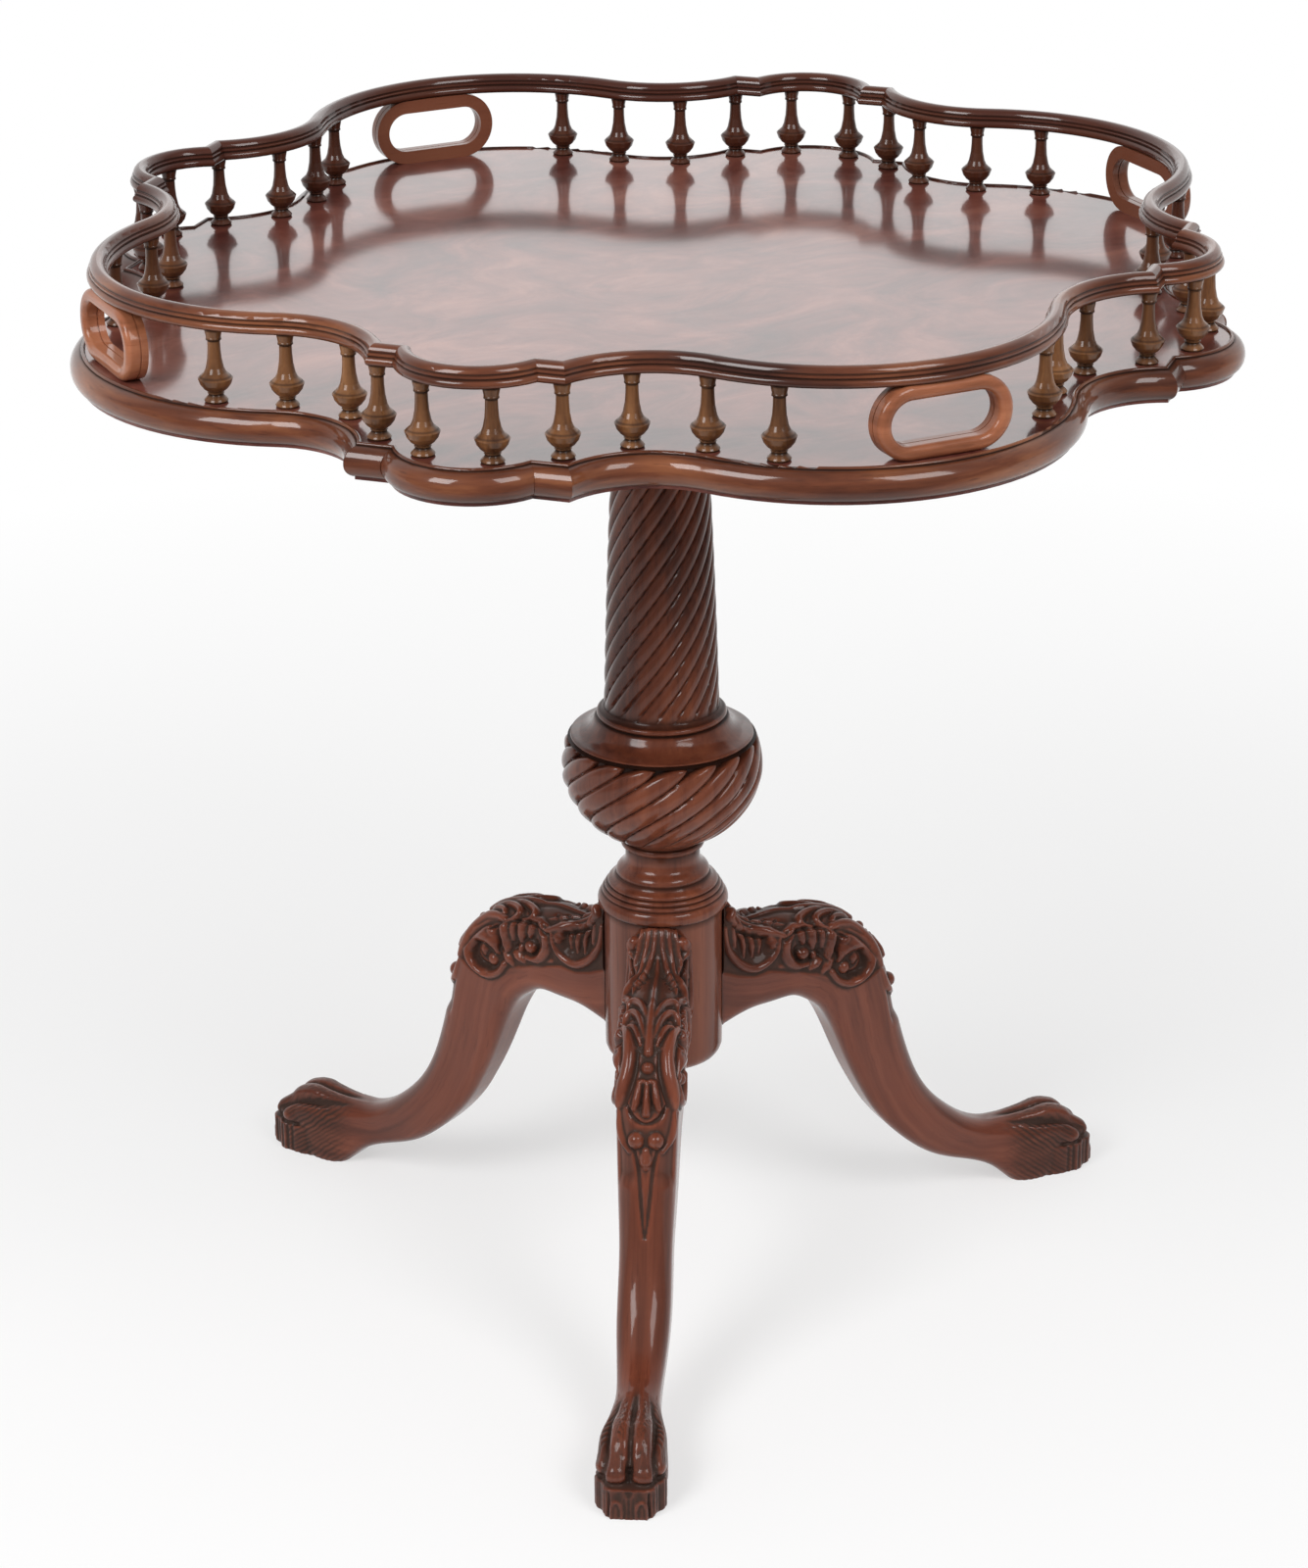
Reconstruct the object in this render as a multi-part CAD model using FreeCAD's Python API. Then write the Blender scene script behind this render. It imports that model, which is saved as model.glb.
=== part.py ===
import FreeCAD, Part
import math
import os

# Tray top tea table: a galleried tray that tips up over a turned pillar on three legs.
# Millimetres, +Z up, origin on the pillar's axis at the floor.
# The four handles lie on +X, +Y, -X and -Y; one leg points to +Y, the other two to 210 and 330 degrees.

V = FreeCAD.Vector
UP = V(0, 0, 1)
ORIGIN = V(0, 0, 0)
QUARTERS = (0, 90, 180, 270)
HALF_TURN = 180
QUARTER_BULGE = 1 - math.sqrt(0.5)      # middle of a quarter circle, in from its corner

# Tray board
SURFACE_HEIGHT = 676.0          # top of the board above the floor
BOARD_THICKNESS = 20.0
LIP_REACH = 4.0                 # thin lip under the edge moulding
LIP_THICKNESS = 2.0

# Outline of the board, one eighth of it; the rest follows by symmetry
SIDE_REACH = 362.5              # axis to the middle of a side
SIDE_RADIUS = 136.0             # bow of the side
COVE_RADIUS = 59.0              # hollow between a side and a corner
CORNER_RISE = 25.0              # corner's tip beyond the short straight steps, along the diagonal
STEP_OUTER = 60.3               # step's far end from the diagonal, where it meets the cove
STEP_INNER = 39.4               # step's near end from the diagonal, where it meets the corner
CORNER_REACH = 355.0            # axis to the tip of a corner, along the diagonal

# Centre line of the gallery, set in from the board's edge
SIDE_INSET = 10.0
CORNER_INSET = 12.0
CORNER_RISE_INSET = 0.4
STEP_INNER_INSET = 0.9

# Section of the edge moulding: out from the board's edge, and up from the tray's surface
BEAD_WIDTH = 2.6
BEAD_HEIGHT = 1.3
QUIRK_WIDTH = 0.4
QUIRK_DEPTH = 0.6
EDGE_REACH = 9.5                # outermost line of the torus
EDGE_BELLY = 10.0               # depth of that line below the surface
EDGE_FOOT_REACH = 4.5
SHOULDER_BULGE = 0.66           # how full the torus is, share of the way across and down
MITRE_OVERRUN = 16.0            # length left on each moulding before its mitre is cut
MITRE_SPREAD = 150.0            # reach of the mitre cuts, more than any section

# Gallery rail and its section
RAIL_CLEAR_HEIGHT = 43.0        # surface to the rail's underside
RAIL_HEIGHT = 12.0
RAIL_HALF_WIDTH = 6.7
RAIL_FOOT_HALF_WIDTH = 4.4
RAIL_WAIST_HALF_WIDTH = 4.9
RAIL_BEAD_HALF_WIDTH = 5.3
RAIL_TOP_HALF_WIDTH = 4.5
RAIL_ROLL_HEIGHT = 5.0          # height of the lower roll
RAIL_FILLET = 0.6
RAIL_BEAD_HEIGHT = 1.4
RAIL_SHOULDER = 1.6             # height of the shoulder under the crown

# Gallery spindles
SPINDLE_FIRST = 91.5            # along the gallery from the middle of a side
SPINDLES_PER_EIGHTH = 5         # evenly spaced from there round the corner
SPINDLE_TENON_RADIUS = 3.0
SPINDLE_FOOT_TENON = 10.0
SPINDLE_HEAD_TENON = 6.0
GLUE_GAP = 0.05                 # between a glued tenon and its socket
# Turned profile: radius, and share of the height between board and rail
SPINDLE_PROFILE = (
    (6.4, 0.0), (6.9, 0.028), (6.2, 0.051), (4.6, 0.088), (4.2, 0.107), (4.9, 0.126), (4.4, 0.14),
    (6.9, 0.186), (8.9, 0.247), (9.9, 0.316), (10.0, 0.326), (9.4, 0.34), (6.4, 0.407), (5.2, 0.472),
    (4.1, 0.602), (3.7, 0.73), (3.6, 0.842), (4.4, 0.856), (4.4, 0.879), (4.2, 0.888), (5.0, 0.977),
    (5.0, 1.0))

# Pierced handles
HANDLE_LENGTH = 84.5
HANDLE_BAND = 8.5
HANDLE_DEPTH = 13.0
HANDLE_SETBACK = 0.6            # behind the gallery's line in the middle of a side
HANDLE_BACK_DEPTH = 4.2         # flat band at the back, behind the groove
HANDLE_GROOVE_WIDTH = 0.8
HANDLE_GROOVE_DEPTH = 0.6
HANDLE_FRONT_FLAT = 0.9         # half width of the flat left between the roundings of the front
HANDLE_DOWEL_RADIUS = 2.5
HANDLE_DOWEL_SPACING = 28.0
HANDLE_FOOT_DOWEL = 10.0
HANDLE_HEAD_DOWEL = 5.0

# Tilt block and its pins
BLOCK_WIDTH = 150.0
BLOCK_LENGTH = 150.0            # from the pivot axis to the back face
BLOCK_THICKNESS = 32.0
BLOCK_GAP = 0.3                 # running gap under the board
PIVOT_SETBACK = 75.0            # pivot axis in front of the pillar's axis
PIN_RADIUS = 9.0
PIN_RUNNING_GAP = 0.05
PIN_END_GAP = 1.0               # pin stops short of the bearer's outer face

# Bearers
BEARER_SIDE_GAP = 0.5
BEARER_WIDTH = 22.0
BEARER_DEPTH = 34.0
BEARER_LENGTH = 500.0
BEARER_TAPER_LENGTH = 55.0
BEARER_TAPER_DEPTH = 20.0
BEARER_SCREW_END = 70.0         # end screws, from the bearer's ends
BEARER_SCREW_PIN = 40.0         # screw in front of the pin
BEARER_SCREW_BACK = 60.0        # screw behind the pillar's axis
BEARER_SCREW_SHANK = 2.4
BEARER_SCREW_HEAD = 4.8
BEARER_SCREW_BITE = 12.0        # how far it goes into the board
SCREW_GAP = 0.05
SLOT_WIDTH = 1.0
SLOT_DEPTH = 0.9

# Catch under the board, behind the block
CATCH_GAP = 5.0                 # block's back face to the plate
CATCH_WIDTH = 30.0
CATCH_LENGTH = 60.0
CATCH_THICKNESS = 2.5
BOLT_WIDTH = 8.0
BOLT_THICKNESS = 4.0
BOLT_LENGTH = 50.0
BOLT_GAP = 0.2                  # running gap round the bolt
BOLT_SETBACK = 2.0              # its nose behind the block's back face when drawn
BOLT_TRAVEL = 10.0
KEEPER_WALL = 2.2
KEEPER_LENGTH = 4.0
KEEPER_INSET = 4.0              # keepers, from the plate's front and back edges
KEEPER_BACK_INSET = 18.0
KNOB_STEM_RADIUS = 2.5
KNOB_STEM_LENGTH = 6.0
KNOB_RADIUS = 4.5
KNOB_SETBACK = 27.0             # knob, from the bolt's nose
CATCH_SCREW_SIDE = 10.5
CATCH_SCREW_INSET = 12.0
SMALL_SCREW_SHANK = 1.4
SMALL_SCREW_HEAD = 2.8
SMALL_SCREW_LENGTH = 12.0
STRIKE_WIDTH = 34.0
STRIKE_HEIGHT = 13.0
STRIKE_THICKNESS = 1.5
STRIKE_SCREW_SIDE = 11.5
STRIKE_TOP_GAP = 0.6            # strike plate's top below the block's top
MORTISE_SPARE = 3.0             # mortise deeper than the bolt reaches

# Pillar, from the foot up
POST_FOOT = 155.0
POST_RADIUS = 38.4
POST_TOP = 262.6
POST_EDGE = 8.4                 # rounding of the post's foot
# Collar: radius beyond the post's, height above the post's top
COLLAR = (
    (2.2, 0.0), (3.7, 1.6), (4.1, 3.0), (4.1, 4.6), (3.5, 7.0), (1.6, 9.2), (1.2, 9.8), (1.2, 11.2),
    (0.2, 12.2), (-0.8, 12.6), (-0.8, 14.2), (-1.8, 15.2), (-2.8, 15.6), (-2.8, 17.2), (-4.0, 18.6),
    (-6.8, 20.4), (-8.2, 22.4), (-8.0, 24.0), (-9.0, 26.6), (-11.6, 29.4), (-13.8, 31.6), (-14.0, 34.0))
NECK_RADIUS = 24.2
NECK_RING = ((0.0, -9.0), (0.9, -7.4), (3.2, -6.6), (3.9, -4.6), (3.9, -2.6), (3.2, -1.2), (3.2, 0.0))
KNOP_FOOT = 313.5
KNOP_WIDEST = 358.0
KNOP_TOP = 379.0
KNOP_FOOT_RADIUS = 28.0
KNOP_RADIUS = 64.8
KNOP_TOP_RADIUS = 62.0
KNOP_FULLNESS = 1.65            # exponent of the bowl's curve
GADROON_COUNT = 18
GADROON_TURN = 83.0             # degrees that each gadroon winds from foot to rim
GADROON_DEPTH = 2.8
# Smooth shoulder: radius beyond the astragal's, height above the knop's rim
SHOULDER = ((18.0, 0.0), (18.2, 2.2), (15.6, 3.4), (11.6, 4.8), (8.0, 6.9), (5.0, 9.6), (2.6, 12.8), (0.8, 15.4),
            (-0.6, 16.0), (-0.6, 16.4))
ASTRAGAL_RADIUS = 41.4
ASTRAGAL_HEIGHT = 4.0
ASTRAGAL_COVE = 4.7             # height of the hollow between astragal and reeds
SHAFT_FOOT_RADIUS = 37.0
SHAFT_TOP_RADIUS = 29.0
SHAFT_SWELL = 0.8               # entasis at mid height
REED_COUNT = 18
REED_DEPTH = 2.0
REED_RISE = 289.0               # height in which a reed winds once round
REED_STOP = 24.0                # plain top of the shaft, under the block
SHAFT_RING_OUT = 3.0
SHAFT_RING_HEIGHT = 6.0
PILLAR_TENON_RADIUS = 19.0
STACK_SECTIONS = 17             # sections along the reeds
BOWL_SECTIONS = 21              # sections up the gadroons

# Legs: each station is top and under side (out from the axis, up from the floor) and a width
LEG_ANGLES = (90, 210, 330)
LEG_NAMES = ("leg_back", "leg_left", "leg_right")
KNEE_WIDTH = 44.0
SHIN_WIDTH = 34.0
ANKLE_WIDTH = 28.8
PAW_WIDTH = 40.0
TOE_ROW_WIDTH = 33.0
LEG_TOP_ROUNDING = 0.42         # rounding of the upper corners, share of the width
LEG_UNDER_ROUNDING = 0.25       # rounding of the lower corners
LEG_STATIONS = (
    ((28, 255), (28, 168), KNEE_WIDTH),
    ((46, 251), (47, 175), KNEE_WIDTH),
    ((67, 241), (66, 179), KNEE_WIDTH),
    ((88, 241.5), (82, 180.5), KNEE_WIDTH),
    ((108, 238.5), (95, 178), KNEE_WIDTH),
    ((132, 228), (104, 172), KNEE_WIDTH),
    ((150, 211), (111, 165), KNEE_WIDTH),
    ((162, 193), (117, 155), 0.8 * KNEE_WIDTH + 0.2 * SHIN_WIDTH),
    ((168, 170), (123, 142), 0.6 * KNEE_WIDTH + 0.4 * SHIN_WIDTH),
    ((174, 142), (133, 118), 0.3 * KNEE_WIDTH + 0.7 * SHIN_WIDTH),
    ((183, 113), (146, 92), SHIN_WIDTH),
    ((195, 88), (158, 73), SHIN_WIDTH),
    ((209, 71), (174, 55), SHIN_WIDTH),
    ((224, 58), (192, 39.5), 0.6 * SHIN_WIDTH + 0.4 * ANKLE_WIDTH),
    ((241, 48.5), (213, 28), ANKLE_WIDTH),
    ((259, 46), (239, 18), ANKLE_WIDTH),
    ((276, 47), (253, 9), 0.5 * ANKLE_WIDTH + 0.5 * PAW_WIDTH),
    ((290, 49), (268, -4), PAW_WIDTH),
    ((302, 47), (288, -4), PAW_WIDTH),
    ((311, 41), (303, -4), TOE_ROW_WIDTH),
    ((318, 32), (313, -4), TOE_ROW_WIDTH))
TOES = ((-8.6, 9.0), (-4.3, 0.0), (4.3, 0.0), (8.6, 9.0))    # turn about the fan's centre, and setback
TOE_FAN_CENTRE = 216.0
TOE_RADIUS = 8.0
TOE_KNUCKLE = (86.0, 36.5)              # out from the fan's centre, up from the floor
TOE_TIP = (100.5, 26.0)
CLAW_RADIUS = 7.6
CLAW_REACH = 104.0
CLAW_HEIGHT = 20.5
PALM_HALF_WIDTH = 12.0                  # solid middle of the paw, behind the toes and claws
PALM_LENGTH = 40.0
DOVETAIL_DEPTH = 14.0
DOVETAIL_ROOT = 16.0
DOVETAIL_TIP = 24.0
DOVETAIL_FOOT = 174.0
DOVETAIL_TOP = 238.0
DOVETAIL_GAP = 0.05

# Levels and places that follow from the sizes above
BOARD_UNDERSIDE = SURFACE_HEIGHT - BOARD_THICKNESS
RAIL_UNDERSIDE = SURFACE_HEIGHT + RAIL_CLEAR_HEIGHT
BLOCK_TOP = BOARD_UNDERSIDE - BLOCK_GAP
BLOCK_BOTTOM = BLOCK_TOP - BLOCK_THICKNESS
PIVOT_HEIGHT = BLOCK_TOP - BLOCK_THICKNESS / 2
BLOCK_BACK = BLOCK_LENGTH - PIVOT_SETBACK
BEARER_INNER = BLOCK_WIDTH / 2 + BEARER_SIDE_GAP
BEARER_BOTTOM = BOARD_UNDERSIDE - BEARER_DEPTH
CATCH_FRONT = BLOCK_BACK + CATCH_GAP
PLATE_FACE = BOARD_UNDERSIDE - CATCH_THICKNESS
BOLT_TOP = PLATE_FACE - BOLT_GAP
BOLT_BOTTOM = BOLT_TOP - BOLT_THICKNESS
BOLT_NOSE = BLOCK_BACK + BOLT_SETBACK
SHAFT_FOOT = KNOP_TOP + SHOULDER[-1][1] + ASTRAGAL_HEIGHT + ASTRAGAL_COVE
SHAFT_TOP = BLOCK_BOTTOM - REED_STOP


def polar(radius, degrees, z=0.0):
    angle = math.radians(degrees)
    return V(radius * math.cos(angle), radius * math.sin(angle), z)


def path_wire(points):
    """Closed wire through points; a point with four numbers ends a three-point arc."""
    edges = []
    here = V(points[0][-2], 0, points[0][-1])
    first = here
    for point in points[1:]:
        there = V(point[-2], 0, point[-1])
        if len(point) == 4:
            edges.append(Part.Arc(here, V(point[0], 0, point[1]), there).toShape())
        else:
            edges.append(Part.LineSegment(here, there).toShape())
        here = there
    if here.distanceToPoint(first) > 1e-6:
        edges.append(Part.LineSegment(here, first).toShape())
    return Part.Wire(edges)


def section_face(points):
    """Flat face in the XZ plane."""
    return Part.Face(path_wire(points))


def turned(profile):
    """Solid of revolution about Z from (radius, height) points, closed on the axis."""
    points = [(0.0, profile[0][-1])] + list(profile) + [(0.0, profile[-1][-1])]
    return section_face(points).revolve(ORIGIN, UP, 360)


def box(x0, x1, y0, y1, z0, z1):
    return Part.makeBox(x1 - x0, y1 - y0, z1 - z0, V(x0, y0, z0))


def rotated(shape, degrees):
    copy = shape.copy()
    copy.rotate(ORIGIN, UP, degrees)
    return copy


def moved(shape, x, y, z):
    copy = shape.copy()
    copy.translate(V(x, y, z))
    return copy


def fused(shapes):
    whole = shapes[0].multiFuse(shapes[1:]) if len(shapes) > 1 else shapes[0]
    return whole.removeSplitter()


def export(name, shapes):
    """Write one node; several solids go in as a group."""
    shape = shapes[0] if len(shapes) == 1 else Part.makeCompound(shapes)
    shape.exportStep("parts/" + name + ".step")


# ------------------------------------------------------------ tray outline

def circle_meeting(c1, r1, c2, r2, left):
    """Where two circles meet, on the left or the right of the line from c1 to c2."""
    across = c2.sub(c1)
    d = across.Length
    along = (d * d + r1 * r1 - r2 * r2) / (2 * d)
    aside = math.sqrt(r1 * r1 - along * along)
    ux = across.x / d
    uy = across.y / d
    sign = 1 if left else -1
    return V(c1.x + along * ux - sign * aside * uy, c1.y + along * uy + sign * aside * ux, 0)


class Eighth:
    """One eighth of a closed line round the tray: half a side, a cove, a step and half a corner.

    The middle of the side lies on +X and the corner on the 45 degree diagonal.
    """

    def __init__(self, side, side_radius, cove_radius, corner, rise, outer, inner):
        step = corner - rise
        self.side_radius = side_radius
        self.cove_radius = cove_radius
        self.step = step
        self.outer = outer
        self.inner = inner
        self.side_centre = V(side - side_radius, 0, 0)
        self.corner_radius = (inner * inner + rise * rise) / (2 * rise)
        self.corner_centre = self.diagonal(corner - self.corner_radius, 0)
        start = self.diagonal(step, outer)
        self.cove_centre = circle_meeting(self.side_centre, side_radius + cove_radius, start, cove_radius, False)
        toward = self.cove_centre.sub(self.side_centre)
        self.tangent = math.degrees(math.atan2(toward.y, toward.x))

    def diagonal(self, along, aside):
        """Point from its place along the diagonal and its distance from it, on the side's side."""
        half = math.sqrt(0.5)
        return V(half * (along + aside), half * (along - aside), 0)

    def cove_aside(self, step, out):
        """Distance from the diagonal at which the cove, moved out, crosses a step line."""
        centre_along = (self.cove_centre.x + self.cove_centre.y) * math.sqrt(0.5)
        centre_aside = (self.cove_centre.x - self.cove_centre.y) * math.sqrt(0.5)
        radius = self.cove_radius - out
        drop = centre_along - step
        return centre_aside - math.sqrt(radius * radius - drop * drop)

    def cove_end(self, out):
        """Meeting of cove and step, for a line that lies further out."""
        step = self.step + out
        return self.diagonal(step, self.cove_aside(step, out))

    def step_end(self, out):
        """Meeting of step and corner, for a line that lies further out."""
        radius = self.corner_radius + out
        rise = self.step + out - self.corner_centre.Length
        return self.diagonal(self.step + out, math.sqrt(radius * radius - rise * rise))

    def cove_angle(self, point):
        rel = point.sub(self.cove_centre)
        return math.degrees(math.atan2(rel.y, rel.x)) % 360

    def corner_angle(self, point):
        """Half angle of the corner's arc, from the diagonal."""
        rel = point.sub(self.corner_centre)
        return 45 - math.degrees(math.atan2(rel.y, rel.x))

    def edges(self, out, z):
        """Edges of half a side, cove, step and half a corner, in order, for a line further out."""
        side = self.side_radius + out
        cove = self.cove_radius - out
        corner = self.corner_radius + out
        cove_end = self.cove_end(out)
        step_end = self.step_end(out)
        start = self.side_centre + V(side, 0, 0)
        join = self.side_centre + polar(side, self.tangent)
        side_mid = self.side_centre + polar(side, self.tangent / 2)
        cove_mid = self.cove_centre + polar(cove, (self.tangent + HALF_TURN + self.cove_angle(cove_end)) / 2)
        corner_mid = self.corner_centre + polar(corner, 45 - self.corner_angle(step_end) / 2)
        tip = self.corner_centre + polar(corner, 45)
        edges = [Part.Arc(start, side_mid, join).toShape(),
                 Part.Arc(join, cove_mid, cove_end).toShape(),
                 Part.LineSegment(cove_end, step_end).toShape(),
                 Part.Arc(step_end, corner_mid, tip).toShape()]
        for edge in edges:
            edge.translate(V(0, 0, z))
        return edges

    def length(self):
        """Length of the line from the middle of the side to the corner's tip."""
        return sum(edge.Length for edge in self.edges(0.0, 0.0))

    def point_along(self, distance):
        """Point at a distance along the line from the middle of the side."""
        side_run = self.side_radius * math.radians(self.tangent)
        if distance < side_run:
            return self.side_centre + polar(self.side_radius, math.degrees(distance / self.side_radius))
        distance -= side_run
        cove_start = self.tangent + HALF_TURN
        cove_run = self.cove_radius * math.radians(cove_start - self.cove_angle(self.cove_end(0)))
        if distance < cove_run:
            return self.cove_centre + polar(self.cove_radius, cove_start - math.degrees(distance / self.cove_radius))
        distance -= cove_run
        if distance < self.outer - self.inner:
            return self.diagonal(self.step, self.outer - distance)
        distance -= self.outer - self.inner
        start = 45 - self.corner_angle(self.step_end(0))
        return self.corner_centre + polar(self.corner_radius, start + math.degrees(distance / self.corner_radius))


def mirrored(point):
    """Mirror of a point in the 45 degree diagonal."""
    return V(point.y, point.x, point.z)


def outline_face(eighth, out, z):
    edges = eighth.edges(out, z)
    other = []
    for edge in reversed(edges):
        copy = edge.mirror(ORIGIN, V(1, -1, 0))
        other.append(copy)
    quarter = edges + other
    every = []
    for turn in QUARTERS:
        for edge in quarter:
            every.append(rotated(edge, turn))
    return Part.Face(Part.Wire(Part.__sortEdges__(every)))


BOARD_LINE = Eighth(SIDE_REACH, SIDE_RADIUS, COVE_RADIUS, CORNER_REACH, CORNER_RISE, STEP_OUTER, STEP_INNER)
RAIL_CORNER = CORNER_REACH - CORNER_INSET
RAIL_RISE = CORNER_RISE - CORNER_RISE_INSET
RAIL_LINE = Eighth(SIDE_REACH - SIDE_INSET, SIDE_RADIUS - SIDE_INSET, COVE_RADIUS + SIDE_INSET,
                   RAIL_CORNER, RAIL_RISE, BOARD_LINE.cove_aside(RAIL_CORNER - RAIL_RISE, -SIDE_INSET),
                   STEP_INNER - STEP_INNER_INSET)


def placed_section(points, origin, azimuth):
    """Section face whose width points along an azimuth, standing at a point."""
    face = section_face(points)
    face.rotate(ORIGIN, UP, azimuth)
    face.translate(origin)
    return face


def mitre_prism(near, far, near_way, far_way, z0, z1):
    """Wedge between two mitre planes, each through a point of the line along its own way."""
    inner = 30.0
    corners = [near - near_way * inner, near + near_way * MITRE_SPREAD,
               far + far_way * MITRE_SPREAD, far - far_way * inner]
    wire = Part.makePolygon([V(c.x, c.y, z0) for c in corners + corners[:1]])
    return Part.Face(wire).extrude(V(0, 0, z1 - z0))


def moulded_ring(line, points, level, height, reach):
    """The lengths of one moulding: four bows, eight coves, eight steps and four corners.

    Bows and coves are butted where they run into each other; the other joints are mitres.
    """
    z0 = level - height
    z1 = level + height
    cove_end = line.cove_end(0)
    step_end = line.step_end(0)
    cove_way = (line.cove_end(reach) - line.cove_end(-reach)).normalize()
    step_way = (line.step_end(reach) - line.step_end(-reach)).normalize()

    # Bow of the side
    face = placed_section(points, line.side_centre + polar(line.side_radius, -line.tangent, level), -line.tangent)
    bow = face.revolve(line.side_centre, UP, 2 * line.tangent)

    # Cove, left over-long and then mitred
    over = math.degrees(MITRE_OVERRUN / line.cove_radius)
    sweep = line.tangent + HALF_TURN - line.cove_angle(cove_end) + over
    start = line.cove_centre + polar(line.cove_radius, line.tangent + HALF_TURN, level)
    cove = placed_section(points, start, line.tangent).revolve(line.cove_centre, UP, -sweep)
    across = V(cove_end.x, -cove_end.y, 0)
    across_way = V(cove_way.x, -cove_way.y, 0)
    cove = cove.common(mitre_prism(across, cove_end, across_way, cove_way, z0, z1))
    other_cove = cove.mirror(ORIGIN, V(0, 1, 0))

    # Short straight step
    run = (cove_end - step_end).normalize()
    face = placed_section(points, step_end - run * MITRE_OVERRUN + V(0, 0, level), 45)
    step = face.extrude(run * (2 * MITRE_OVERRUN + (cove_end - step_end).Length))
    spread = MITRE_SPREAD / 3
    corners = [cove_end - cove_way * spread, cove_end + cove_way * spread,
               step_end + step_way * spread, step_end - step_way * spread]
    wire = Part.makePolygon([V(c.x, c.y, z0) for c in corners + corners[:1]])
    step = step.common(Part.Face(wire).extrude(V(0, 0, z1 - z0)))
    other_step = step.mirror(ORIGIN, V(1, -1, 0))

    # Corner
    half = line.corner_angle(step_end) + math.degrees(MITRE_OVERRUN / line.corner_radius)
    face = placed_section(points, line.corner_centre + polar(line.corner_radius, 45 - half, level), 45 - half)
    corner = face.revolve(line.corner_centre, UP, 2 * half)
    keep = mitre_prism(step_end, mirrored(step_end), step_way, mirrored(step_way), z0, z1)
    corner = corner.common(keep)

    lengths = []
    for turn in QUARTERS:
        for piece in (other_cove, bow, cove, step, corner, other_step):
            lengths.append(rotated(piece.Solids[0], turn))
    return lengths


# ------------------------------------------------------------ tray pieces

def edge_section():
    reach = EDGE_REACH - BEAD_WIDTH - QUIRK_WIDTH
    shoulder = BEAD_WIDTH + QUIRK_WIDTH
    foot = BOARD_THICKNESS - LIP_THICKNESS
    return [(0.0, -foot), (0.0, 0.0),
            (BEAD_WIDTH / 2, BEAD_HEIGHT, BEAD_WIDTH, 0.0),
            (BEAD_WIDTH, -QUIRK_DEPTH), (shoulder, -QUIRK_DEPTH),
            (shoulder + SHOULDER_BULGE * reach, -(1 - SHOULDER_BULGE) * EDGE_BELLY, EDGE_REACH, -EDGE_BELLY),
            (EDGE_FOOT_REACH + 0.75 * (EDGE_REACH - EDGE_FOOT_REACH), -EDGE_BELLY - 0.6 * (foot - EDGE_BELLY),
             EDGE_FOOT_REACH, -foot)]


def rail_section():
    """Whole section of the rail, centred, from its underside up."""
    roll = RAIL_ROLL_HEIGHT
    waist = roll + RAIL_FILLET
    bead = waist + RAIL_BEAD_HEIGHT
    chamfer = RAIL_BEAD_HALF_WIDTH - RAIL_WAIST_HALF_WIDTH
    right = [(RAIL_FOOT_HALF_WIDTH, 0.0),
             (RAIL_HALF_WIDTH, roll / 2, RAIL_WAIST_HALF_WIDTH, roll),
             (RAIL_WAIST_HALF_WIDTH, waist),
             (RAIL_BEAD_HALF_WIDTH, waist + chamfer),
             (RAIL_BEAD_HALF_WIDTH, bead - chamfer),
             (RAIL_WAIST_HALF_WIDTH, bead),
             (RAIL_TOP_HALF_WIDTH, bead),
             (RAIL_TOP_HALF_WIDTH, bead + RAIL_SHOULDER)]
    section = [(-RAIL_FOOT_HALF_WIDTH, 0.0)] + right
    section.append((0.0, RAIL_HEIGHT, -RAIL_TOP_HALF_WIDTH, bead + RAIL_SHOULDER))
    section.append((-RAIL_TOP_HALF_WIDTH, bead))
    section.append((-RAIL_WAIST_HALF_WIDTH, bead))
    section.append((-RAIL_BEAD_HALF_WIDTH, bead - chamfer))
    section.append((-RAIL_BEAD_HALF_WIDTH, waist + chamfer))
    section.append((-RAIL_WAIST_HALF_WIDTH, waist))
    section.append((-RAIL_WAIST_HALF_WIDTH, roll))
    section.append((-RAIL_HALF_WIDTH, roll / 2, -RAIL_FOOT_HALF_WIDTH, 0.0))
    return section


def spindle_places():
    """Places of all spindles, quarter by quarter, along the gallery's line."""
    places = []
    pitch = (RAIL_LINE.length() - SPINDLE_FIRST) / (SPINDLES_PER_EIGHTH - 0.5)
    for number in range(SPINDLES_PER_EIGHTH):
        point = RAIL_LINE.point_along(SPINDLE_FIRST + number * pitch)
        places.append(point)
    for point in reversed(places[:SPINDLES_PER_EIGHTH]):
        places.append(mirrored(point))
    every = []
    for turn in QUARTERS:
        for point in places:
            every.append(polar(point.Length, math.degrees(math.atan2(point.y, point.x)) + turn))
    return every


def spindle():
    profile = [(SPINDLE_TENON_RADIUS, -SPINDLE_FOOT_TENON), (SPINDLE_TENON_RADIUS, 0.0)]
    for radius, share in SPINDLE_PROFILE:
        profile.append((radius, share * RAIL_CLEAR_HEIGHT))
    profile.append((SPINDLE_TENON_RADIUS, RAIL_CLEAR_HEIGHT))
    profile.append((SPINDLE_TENON_RADIUS, RAIL_CLEAR_HEIGHT + SPINDLE_HEAD_TENON))
    return moved(turned(profile), 0, 0, SURFACE_HEIGHT)


def socket(radius, gap, z0, z1):
    return moved(Part.makeCylinder(radius + gap, z1 - z0), 0, 0, z0)


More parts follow.
